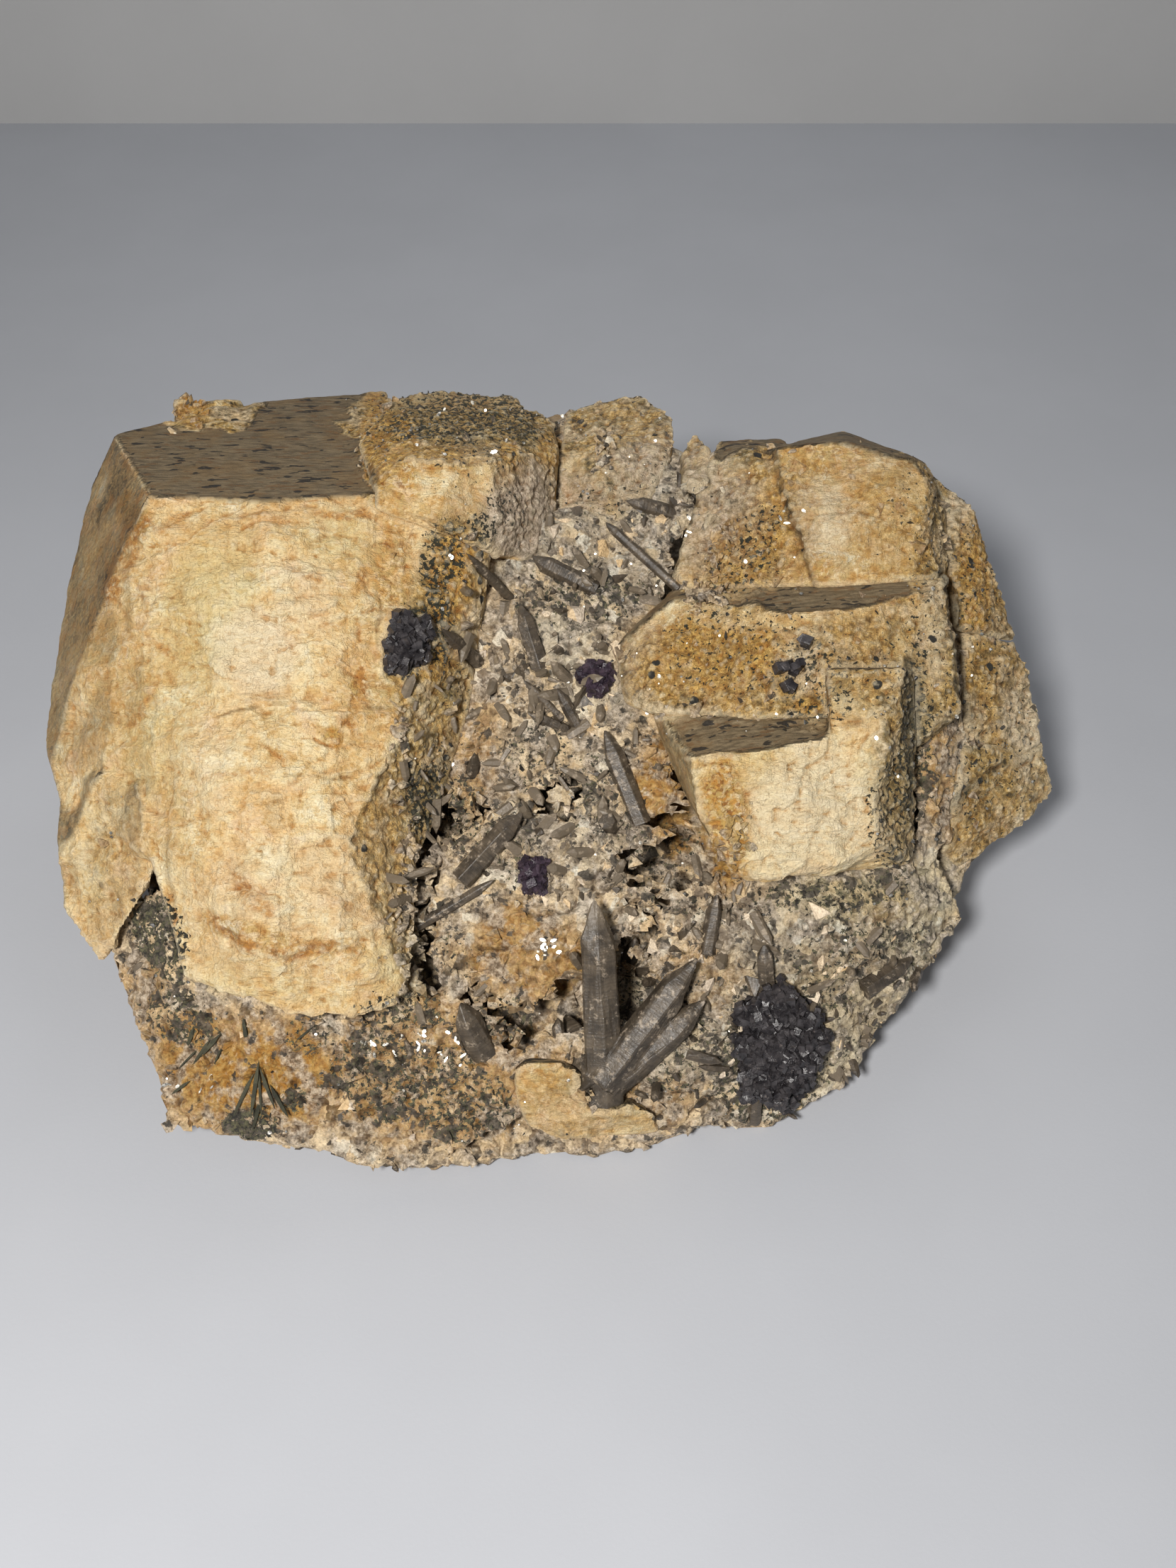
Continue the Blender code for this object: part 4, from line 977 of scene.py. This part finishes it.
def matrix_skin(material):
    """The matrix: lumps, ledges and crumbs of about a millimetre."""
    mesh = skin_of("matrix", MATRIX_VOXEL)
    points, facing = corners(mesh), directions(mesh)
    turned_away = (facing @ OUT < -0.1) | (points[:, 2] < 1.0)
    mesh = thin_out(mesh, turned_away, MATRIX_HIDDEN_SHARE, MATRIX_TRIANGLES)
    points, facing = corners(mesh), directions(mesh)
    place, shown = paint_regions(mesh, points, facing, matrix=True)

    blocks, blocks_next, block_number = cells(points, 3.4, 71)
    crumbs, _, crumb_number = cells(points, 1.5, 75)
    rise = 1.0 * fractal(points, 7.0, 4, 70)
    rise += 1.5 * (np.minimum(blocks_next - blocks, 0.5) - 0.2) * (0.3 + block_number)
    rise += 0.9 * (0.55 - crumbs) * (0.4 + crumb_number)
    rise += 0.3 * fractal(points, 1.5, 2, 78)
    rise += ease(-facing @ OUT, 0.0, 0.4) * terraced(2.2 * fractal(points, 16.0, 3, 79), 0.9)
    standing = ease(points[:, 2], 0.3, 1.5)
    lift = OVERLAP + 0.1 + rise
    lift, joint = close_joints(lift, near_others("matrix", points), 1.1)
    paint(mesh, "joint", joint)
    set_corners(mesh, points + facing * (lift * standing)[:, None])

    paint_shades(mesh, place, shown)
    # The material paints shade in these hollows and highlights on the raised edges
    paint(mesh, "hollow", hollows(mesh))
    paint(mesh, "away", 1.0 - shown)
    return dress("matrix_skin", mesh, material, "matrix")


# Crystals


def crystal_skin(node, name, material, slot, cuts, shake, foot=None, bevel=0.1):
    """A crystal from its solid: bevelled edges, finer faces and slight unevenness."""
    bm = bmesh.new()
    bm.from_mesh(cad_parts[node].data)
    bmesh.ops.remove_doubles(bm, verts=bm.verts, dist=0.01 * MM)
    bmesh.ops.dissolve_limit(bm, angle_limit=math.radians(4.0), verts=bm.verts, edges=bm.edges)
    sharp = [e for e in bm.edges if e.is_manifold and e.calc_face_angle() > math.radians(15.0)]
    bmesh.ops.bevel(bm, geom=sharp, offset=bevel * MM, segments=1, affect="EDGES")
    bmesh.ops.triangulate(bm, faces=bm.faces)
    long_edges = [e for e in bm.edges if e.calc_length() > 0.8 * MM]
    bmesh.ops.subdivide_edges(bm, edges=long_edges, cuts=cuts, use_grid_fill=True)
    bmesh.ops.triangulate(bm, faces=bm.faces)
    mesh = bpy.data.meshes.new(name)
    bm.to_mesh(mesh)
    bm.free()
    points, facing = corners(mesh), directions(mesh)
    if foot is None:
        middle = points.mean(axis=0)
        axis = np.linalg.svd(points - middle, full_matrices=False)[2][0]
        along = (points - middle) @ axis
    else:
        along = np.linalg.norm(points - foot, axis=1)
    ridges = np.column_stack((along * 2.6, along * 0.0, along * 0.0))
    lift = shake * (noise(points, 1.2, 5) + 0.8 * noise(ridges, 1.0, 6))
    if slot == "quartz":
        lift += 1.6 * shake * noise(points, 3.0, 8)
    set_corners(mesh, points + facing * lift[:, None])
    paint(mesh, "along", along)
    return dress(name, mesh, material, node)


def turned(count, normals, lean, rng):
    """Rotations that stand each small piece on its surface, leaning up to `lean` degrees."""
    tilt = np.radians(lean) * np.sqrt(rng.random(count))
    spin = rng.random(count) * math.tau
    helper = np.where(np.abs(normals[:, 2:3]) < 0.9, (0.0, 0.0, 1.0), (1.0, 0.0, 0.0))
    side = np.cross(normals, helper)
    side /= np.linalg.norm(side, axis=1)[:, None]
    front = np.cross(normals, side)
    swing = side * np.cos(spin)[:, None] + front * np.sin(spin)[:, None]
    z = normals * np.cos(tilt)[:, None] + swing * np.sin(tilt)[:, None]
    x = np.cross(z, np.cross(normals, z) + 1e-4 * side + 1e-4)
    x /= np.linalg.norm(x, axis=1)[:, None]
    y = np.cross(z, x)
    roll = rng.random(count) * math.tau
    x_rolled = x * np.cos(roll)[:, None] + y * np.sin(roll)[:, None]
    y_rolled = np.cross(z, x_rolled)
    return np.stack((x_rolled, y_rolled, z), axis=2)


def hull_shape(points):
    """The corners and triangles of the convex shape round some points."""
    bm = bmesh.new()
    for point in points:
        bm.verts.new(point)
    made = bmesh.ops.convex_hull(bm, input=bm.verts)
    loose = {v for v in made["geom_interior"] + made["geom_unused"] if isinstance(v, bmesh.types.BMVert)}
    bmesh.ops.delete(bm, geom=list(loose), context="VERTS")
    bmesh.ops.triangulate(bm, faces=bm.faces)
    bmesh.ops.recalc_face_normals(bm, faces=bm.faces)
    bm.verts.index_update()
    shape = np.array([v.co[:] for v in bm.verts]), np.array([[v.index for v in f.verts] for f in bm.faces])
    bm.free()
    return shape


def crumb_shapes(rng, kinds=6):
    """Irregular broken fragments about one millimetre across."""
    return [hull_shape((rng.random((9, 3)) - 0.5) * (1.0, 0.9, 0.75)) for _ in range(kinds)]


def cube_shapes():
    cube = [Vector(corner) * 0.5 for corner in itertools.product((-1.0, 1.0), repeat=3)]
    return [hull_shape([Vector((c.x, c.y, c.z * tall)) for c in cube]) for tall in (1.0, 0.8, 1.2)]


def prism_shapes(rng):
    """Small quartz crystals: six sides and an uneven point, foot at the origin, one millimetre long."""
    shapes = []
    for _ in range(4):
        ring = [(math.cos(a), math.sin(a)) for a in np.arange(6) * math.tau / 6]
        grow = 0.9 + 0.2 * rng.random(12)
        points = []
        for i, (x, y) in enumerate(ring):
            points.append(Vector((0.5 * x * grow[i], 0.5 * y * grow[i], -0.15)))
            points.append(Vector((0.43 * x, 0.43 * y, 0.68 + 0.08 * grow[i + 6] * math.cos(i))))
        points.append(Vector((0.08, 0.0, 1.0)))
        shapes.append(hull_shape(points))
    return shapes


def scattered(name, shapes, places, frames, sizes, rng):
    """One mesh of many small pieces: each shape turned, sized and put in its place."""
    points, faces, count = [], [], 0
    picks = rng.integers(len(shapes), size=len(places))
    for number, (shape_points, shape_faces) in enumerate(shapes):
        chosen = np.flatnonzero(picks == number)
        if not len(chosen):
            continue
        sized = shape_points[None, :, :] * sizes[chosen][:, None, :]
        placed = np.einsum("nij,nkj->nki", frames[chosen], sized) + places[chosen][:, None, :]
        shift = count + np.arange(len(chosen)) * len(shape_points)
        faces.append((shape_faces[None, :, :] + shift[:, None, None]).reshape(-1, 3))
        points.append(placed.reshape(-1, 3))
        count += len(chosen) * len(shape_points)
    return new_mesh(name, np.vstack(points), np.vstack(faces).tolist())


class Ground:
    """The triangles of the large skins, on which small pieces are scattered."""

    def __init__(self, objects):
        middles, normals, areas, names, joints = [], [], [], [], []
        for number, obj in enumerate(objects):
            mesh = obj.data
            mesh.calc_loop_triangles()
            triangles = np.empty(len(mesh.loop_triangles) * 3, int)
            mesh.loop_triangles.foreach_get("vertices", triangles)
            ends = corners(mesh)[triangles.reshape(-1, 3)]
            cross = np.cross(ends[:, 1] - ends[:, 0], ends[:, 2] - ends[:, 0])
            area = np.linalg.norm(cross, axis=1)
            keep = area > 1e-9
            middles.append(ends.mean(axis=1)[keep])
            normals.append(cross[keep] / area[keep][:, None])
            areas.append(area[keep] * 0.5)
            names.append(np.full(keep.sum(), number))
            joint = np.zeros(len(mesh.vertices), np.float32)
            if "joint" in mesh.attributes:
                mesh.attributes["joint"].data.foreach_get("value", joint)
            joints.append(joint[triangles.reshape(-1, 3)].mean(axis=1)[keep])
        self.middles = np.vstack(middles)
        self.normals = np.vstack(normals)
        self.areas = np.concatenate(areas)
        self.owner = np.concatenate(names)
        self.joint = np.concatenate(joints)
        self.place = seen(self.middles)
        self.shown = ease(self.normals @ OUT, -0.1, 0.3)

    def choose(self, count, density, rng):
        """Random triangles, more of them where the density is high: their middles and normals."""
        weight = self.areas * density
        chosen = rng.choice(len(weight), size=count, p=weight / weight.sum())
        return self.middles[chosen], self.normals[chosen]

    def spot(self, across, up):
        """The showing triangle at a place that is given as it is seen."""
        apart = np.hypot(self.place[:, 0] - across, self.place[:, 1] - up)
        index = np.argmin(apart + 9.0 * (self.shown < 0.5) - 0.1 * self.place[:, 2])
        return self.middles[index], self.normals[index]


def fragment_sizes(count, least, more, power, rng, low=0.7, spread=0.5):
    """Many small sizes and a few large ones, and the three uneven sides of each piece."""
    size = least + more * rng.random(count) ** power
    return size, size[:, None] * (low + spread * rng.random((count, 3)))


def fragments(name, at, normal, lean, sizes, rng, kinds=6):
    """One mesh of broken fragments, each leaning up to `lean` degrees."""
    shapes = crumb_shapes(rng, kinds)
    return scattered(name, shapes, at, turned(len(at), normal, lean, rng), sizes, rng)


def dress_crumbs(name, mesh, material, shaded=False):
    """Paints crumbs like the matrix and makes them a piece of the specimen."""
    points = corners(mesh)
    place, shown = paint_regions(mesh, points, np.tile(OUT, (len(points), 1)), matrix=True)
    if shaded:
        paint_shades(mesh, place, shown)
    dress(name, mesh, material, None)


def druse(cluster, number):
    """Small cubes grown over a fluorite cluster."""
    ground = Ground([cluster])
    rng = np.random.default_rng(40 + number)
    count = int(CUBES_PER_AREA * ground.areas.sum())
    at, normal = ground.choose(count, 0.1 + ground.shown, rng)
    size = 0.45 + 0.9 * rng.random(count) ** 1.5
    sizes = np.column_stack((size, size * (0.8 + 0.4 * rng.random(count)), size))
    mesh = scattered("druse", cube_shapes(), at, turned(count, normal, 55, rng), sizes, rng)
    name = cluster.name.replace("_skin", "_druse")
    dress(name, mesh, cluster.data.materials[0], None)


def scatter_small_pieces(ground, looks):
    """The crumbs, lumps, dark grains, small quartz crystals, mica flakes and needles."""
    place, shown = ground.place, ground.shown
    on_matrix = (ground.owner == ROCK).astype(float)
    above_floor = ease(ground.middles[:, 2], 1.0, 4.0)
    dark, crust = region(place, "dark"), region(place, "crust")
    clear = 1.0 - 0.8 * region(place, "clear")
    flank = (ground.owner == LEFT) * ease(ground.normals[:, 0], 0.3, 0.6) * ease(place[:, 0], -34.0, -28.0)
    rocky = np.maximum(on_matrix * (0.25 + shown * clear), 0.25 * crust * shown)
    rocky = np.maximum(rocky, 0.9 * flank * shown)
    seam = ground.joint * shown * ((ground.owner == ROCK) | (place[:, 0] < 32.0))
    back_edge = 2.0 * region(place, "back edge") * (ground.owner == LEFT) * ease(-place[:, 2], 15.0, 25.0)
    rocky += 1.2 * seam + back_edge

    rng = np.random.default_rng(seed=5)
    at, normal = ground.choose(COUNTS["crumbs"], above_floor * rocky, rng)
    sizes = fragment_sizes(len(at), 0.7, 2.9, 3.0, rng, 0.65, 0.6)[1]
    dress_crumbs("crumbs", fragments("crumbs", at, normal, 60, sizes, rng), looks["matrix"], shaded=True)

    rng = np.random.default_rng(seed=14)
    deep = above_floor * region(place, "deep joint") * ease(place[:, 2], -30.0, -10.0)
    at, normal = ground.choose(COUNTS["joint_crumbs"], deep, rng)
    sizes = fragment_sizes(len(at), 0.9, 1.9, 1.6, rng)[1]
    mesh = fragments("joint_crumbs", at + 0.5 * OUT, normal, 60, sizes, rng)
    dress_crumbs("joint_crumbs", mesh, looks["matrix"])

    rng = np.random.default_rng(seed=15)
    uneven = above_floor * shown * on_matrix * (region(place, "uneven") + 0.03)
    for name, look, slot in (("pale_lumps", "lump", "matrix"), ("quartz_chunks", "quartz", "quartz")):
        at, normal = ground.choose(COUNTS[name], uneven, rng)
        size, sizes = fragment_sizes(len(at), 1.6, 3.0, 2.0, rng)
        sunk = at - 0.18 * normal * size[:, None]
        mesh = fragments(name, sunk, normal, 80, sizes, rng, kinds=10)
        paint(mesh, "along", corners(mesh)[:, 0] * 0.7)
        dress(name, mesh, looks[look], None)

    rng = np.random.default_rng(seed=6)
    weight = shown * (dark ** 1.6 + 0.10 * crust + 0.06 * on_matrix) + 0.03 * on_matrix
    at, normal = ground.choose(COUNTS["dark_grains"], above_floor * weight, rng)
    sizes = fragment_sizes(len(at), 0.4, 0.9, 2.5, rng, 0.75)[1]
    mesh = fragments("dark_grains", at, normal, 80, sizes, rng)
    dress("dark_grains", mesh, looks["dark"], None)

    rng = np.random.default_rng(seed=7)
    weight = above_floor * (on_matrix * (shown * region(place, "valley") + 0.02) + 0.8 * flank * shown)
    at, normal = ground.choose(COUNTS["small_quartz"], weight, rng)
    long = 1.3 + 4.0 * rng.random(len(at)) ** 2.2
    wide = np.minimum(long * (0.3 + 0.4 * rng.random(len(at))), 2.0)
    sizes = np.column_stack((wide, wide * (0.7 + 0.3 * rng.random(len(at))), long))
    mesh = scattered("small_quartz", prism_shapes(rng), at, turned(len(at), normal, 85, rng), sizes, rng)
    paint(mesh, "along", corners(mesh)[:, 2] * 1.3)
    dress("small_quartz", mesh, looks["quartz"], None)

    scatter_mica(ground, above_floor * shown * (0.3 * on_matrix + 0.5 * dark + crust), looks["mica"])
    needles(ground, looks["needle"])
    fill_hollows(ground, looks["matrix"])


def scatter_mica(ground, weight, material):
    """Thin six-sided flakes, most of them turned so that they catch the light."""
    rng = np.random.default_rng(seed=8)
    glint = OUT - 0.07 * ACROSS
    at, normal = ground.choose(COUNTS["mica_flakes"], weight, rng)
    size = 0.25 + 0.55 * rng.random(len(at)) ** 2.0
    sizes = np.column_stack((size, size * 0.8, np.full(len(at), 0.1)))
    leaning = 0.3 * normal + glint
    leaning /= np.linalg.norm(leaning, axis=1)[:, None]
    lifted = at + normal * 0.25
    frames = turned(len(at), leaning, 13, rng)
    for across, up, count, spread in SPARKLES:
        for _ in range(count):
            point, outward = ground.spot(*(np.array((across, up)) + spread * rng.normal(size=2)))
            lifted = np.vstack((lifted, point + 0.25 * outward))
            frames = np.vstack((frames, turned(1, glint[None, :] / np.linalg.norm(glint), 8, rng)))
            sizes = np.vstack((sizes, (0.4 + 0.8 * rng.random(), 0.25 + 0.35 * rng.random(), 0.12)))
    ring = np.arange(6) * math.tau / 6
    flake = [Vector((0.5 * math.cos(a), 0.5 * math.sin(a), h)) for a in ring for h in (-0.5, 0.5)]
    mesh = scattered("mica_flakes", [hull_shape(flake)], lifted, frames, sizes, rng)
    dress("mica_flakes", mesh, material, None)


def fill_hollows(ground, material):
    """Crumbs packed in the deep hollows beside the crystals, up to the rock around them."""
    rng = np.random.default_rng(seed=21)
    rock = np.flatnonzero((ground.owner == ROCK) & (ground.shown > 0.5))
    places = []
    for across, up, spread, count in HOLLOWS:
        apart = np.hypot(ground.place[rock, 0] - across, ground.place[rock, 1] - up)
        level = np.percentile(ground.place[rock[apart < spread + 3.0], 2], 90)
        for _ in range(count):
            spot = np.array((across, up)) + 0.6 * spread * rng.normal(size=2)
            places.append(true_place(*spot, level - 0.3 - 3.0 * rng.random()))
    places = np.array(places)
    normals = np.tile(OUT, (len(places), 1))
    sizes = fragment_sizes(len(places), 1.6, 1.6, 1.0, rng)[1]
    mesh = fragments("packed_crumbs", places, normals, 80, sizes, rng, kinds=10)
    dress_crumbs("packed_crumbs", mesh, material)


def needles(ground, material):
    """Flat dark needles that lie on the lobe."""
    rng = np.random.default_rng(seed=9)
    places, frames, sizes = [], [], []
    for across, up, way, long in NEEDLES:
        run, rise = math.cos(math.radians(way)), math.sin(math.radians(way))
        point, outward = ground.spot(across + 0.5 * long * run, up + 0.5 * long * rise)
        y = outward + OUT
        y /= np.linalg.norm(y)
        z = run * ACROSS + rise * UP
        z -= y * (z @ y)
        z /= np.linalg.norm(z)
        places.append(point + 0.45 * y)
        frames.append(np.column_stack((np.cross(y, z), y, z)))
        sizes.append((0.3 + 0.4 * rng.random(), 0.4, long))
    ends = ((-1, -0.2), (1, -0.2), (-0.8, 0.25), (0.8, 0.25))
    blade = [Vector((0.5 * wide, h, at)) for wide, at in ends for h in (-0.5, 0.5)]
    blade += [Vector((0.0, 0.0, -0.5)), Vector((0.0, 0.0, 0.5))]
    places, frames, sizes = np.array(places), np.array(frames), np.array(sizes)
    mesh = scattered("needles", [hull_shape(blade)], places, frames, sizes, rng)
    dress("needles", mesh, material, None)


def main():
    looks = {
        "feldspar": feldspar_material(),
        "matrix": matrix_material(),
        "quartz": quartz_material(),
        "fluorite": fluorite_material(),
        "purple": purple_material(),
        "dark": plain_grain_material("dark grains", [
            (0.0, (0.02, 0.019, 0.018)), (0.6, (0.045, 0.042, 0.032)), (1.0, (0.075, 0.062, 0.05)),
        ], 0.35, 0.1),
        "needle": plain_grain_material("needles", [
            (0.0, (0.035, 0.036, 0.025)), (1.0, (0.075, 0.072, 0.045)),
        ], 0.75, 0.1, Specular_IOR_Level=0.2),
        "lump": plain_grain_material("pale lumps", [
            (0.0, (0.62, 0.42, 0.20)), (0.3, (0.86, 0.66, 0.42)),
            (0.6, (0.92, 0.78, 0.60)), (1.0, (0.66, 0.55, 0.43)),
        ], 0.65, 0.4, 5.0, Specular_IOR_Level=0.4),
        "mica": plain_grain_material("mica", [
            (0.0, (0.75, 0.70, 0.58)), (1.0, (0.95, 0.92, 0.85)),
        ], 0.3, 0.01, Metallic=1.0),
    }
    rock = matrix_skin(looks["matrix"])
    left = feldspar_skin(
        "feldspar_left", looks["feldspar"], LEFT_VOXEL, seed=100,
        thin_below=lambda facing: facing @ OUT < -0.2,
    )
    skins = [rock, left]
    for number, node in enumerate(sorted(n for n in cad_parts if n.startswith("feldspar_"))):
        if node != "feldspar_left":
            skins.append(feldspar_skin(node, looks["feldspar"], FELDSPAR_VOXEL, 200 + 20 * number))

    clusters = []
    spray_foot = true_place(3.0, -48.5, 6.0)
    for node in sorted(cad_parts):
        name = node + "_skin"
        if node == "quartz_spray":
            crystal_skin(
                node, name, looks["quartz"], "quartz", cuts=4, shake=0.09, foot=spray_foot, bevel=0.22
            )
        elif node.startswith("quartz_"):
            crystal_skin(node, name, looks["quartz"], "quartz", cuts=4, shake=0.05)
        elif node.startswith("fluorite_"):
            look = looks["purple" if "purple" in node else "fluorite"]
            clusters.append(crystal_skin(node, name, look, "fluorite", cuts=1, shake=0.03, bevel=0.05))
    for number, cluster in enumerate(clusters):
        if "beads" not in cluster.name:
            druse(cluster, number)
    scatter_small_pieces(Ground(skins), looks)
    stage_and_light()


# Stage and lights

LENS = 35.8
WALL_AT = 0.345  # how far back the backdrop stands, in metres
STAGE_REACH = 3.0
FLOOR_COLOR = (0.46, 0.475, 0.51)
WALL_COLOR = (0.52, 0.52, 0.52)
KEY_DIRECTION = OUT - 0.21 * ACROSS + 0.035 * UP
KEY_DISTANCE = 0.4
FILL_PLACE = (0.05, 0.3, 0.36)
WORLD_COLOR = (0.93, 0.96, 1.0, 1.0)
WORLD_STRENGTH = 0.2


def stage_plane(name, ends, color):
    """A large flat plane in a pale, slightly uneven color."""
    plane = mesh_object(name, bpy.data.meshes.new(name))
    plane.data.from_pydata(ends, [], [(0, 1, 2, 3)])
    g = Graph("pale " + name)
    shade = g.mix(g.step(g.noise(60.0, 4.0), 0.3, 0.7), tuple(0.96 * c for c in color), color)
    plane.data.materials.append(g.finish(shade, 0.75, g.noise(0.7, 4.0), 0.02, Specular_IOR_Level=0.2))
    return plane


def disk_light(name, place, size, power, target):
    """A round soft light that points at the target."""
    lamp = bpy.data.lights.new(name, "AREA")
    lamp.shape = "DISK"
    lamp.size = size
    lamp.energy = power
    light = bpy.data.objects.new(name, lamp)
    bpy.context.scene.collection.objects.link(light)
    light.location = place
    light.rotation_euler = (target - light.location).to_track_quat("-Z", "Y").to_euler()
    return light


def stage_and_light():
    """A pale floor with a low backdrop, a soft key light by the camera, and even fill."""
    scene = bpy.context.scene
    target = Vector(MIDDLE * MM)
    camera_data = bpy.data.cameras.new("camera")
    camera_data.sensor_fit = "AUTO"
    camera_data.sensor_width = 36.0
    camera_data.lens = LENS
    camera_data.clip_start = 0.01
    camera = bpy.data.objects.new("camera", camera_data)
    scene.collection.objects.link(camera)
    camera.location = target + Vector(OUT * VIEW_DISTANCE * MM)
    camera.rotation_euler = Vector(-OUT).to_track_quat("-Z", "Y").to_euler()
    scene.camera = camera

    side, back = STAGE_REACH, WALL_AT
    floor_ends = [(-side, -side, 0), (side, -side, 0), (side, back, 0), (-side, back, 0)]
    wall_ends = [(-side, back, 0), (side, back, 0), (side, back, 2), (-side, back, 2)]
    floor = stage_plane("floor", floor_ends, FLOOR_COLOR)
    wall = stage_plane("backdrop", wall_ends, WALL_COLOR)

    key_place = target + Vector(KEY_DIRECTION * KEY_DISTANCE)
    key = disk_light("key", key_place, size=0.055, power=2.1, target=target)
    key.data.color = (1.0, 0.97, 0.93)
    fill = disk_light("back fill", Vector(FILL_PLACE), size=0.3, power=0.32, target=target)
    fill.visible_camera = False

    world = bpy.data.worlds.new("soft fill")
    scene.world = world
    world.use_nodes = True
    world.node_tree.nodes["Background"].inputs["Color"].default_value = WORLD_COLOR
    world.node_tree.nodes["Background"].inputs["Strength"].default_value = WORLD_STRENGTH
    scene.view_settings.view_transform = "Standard"


main()
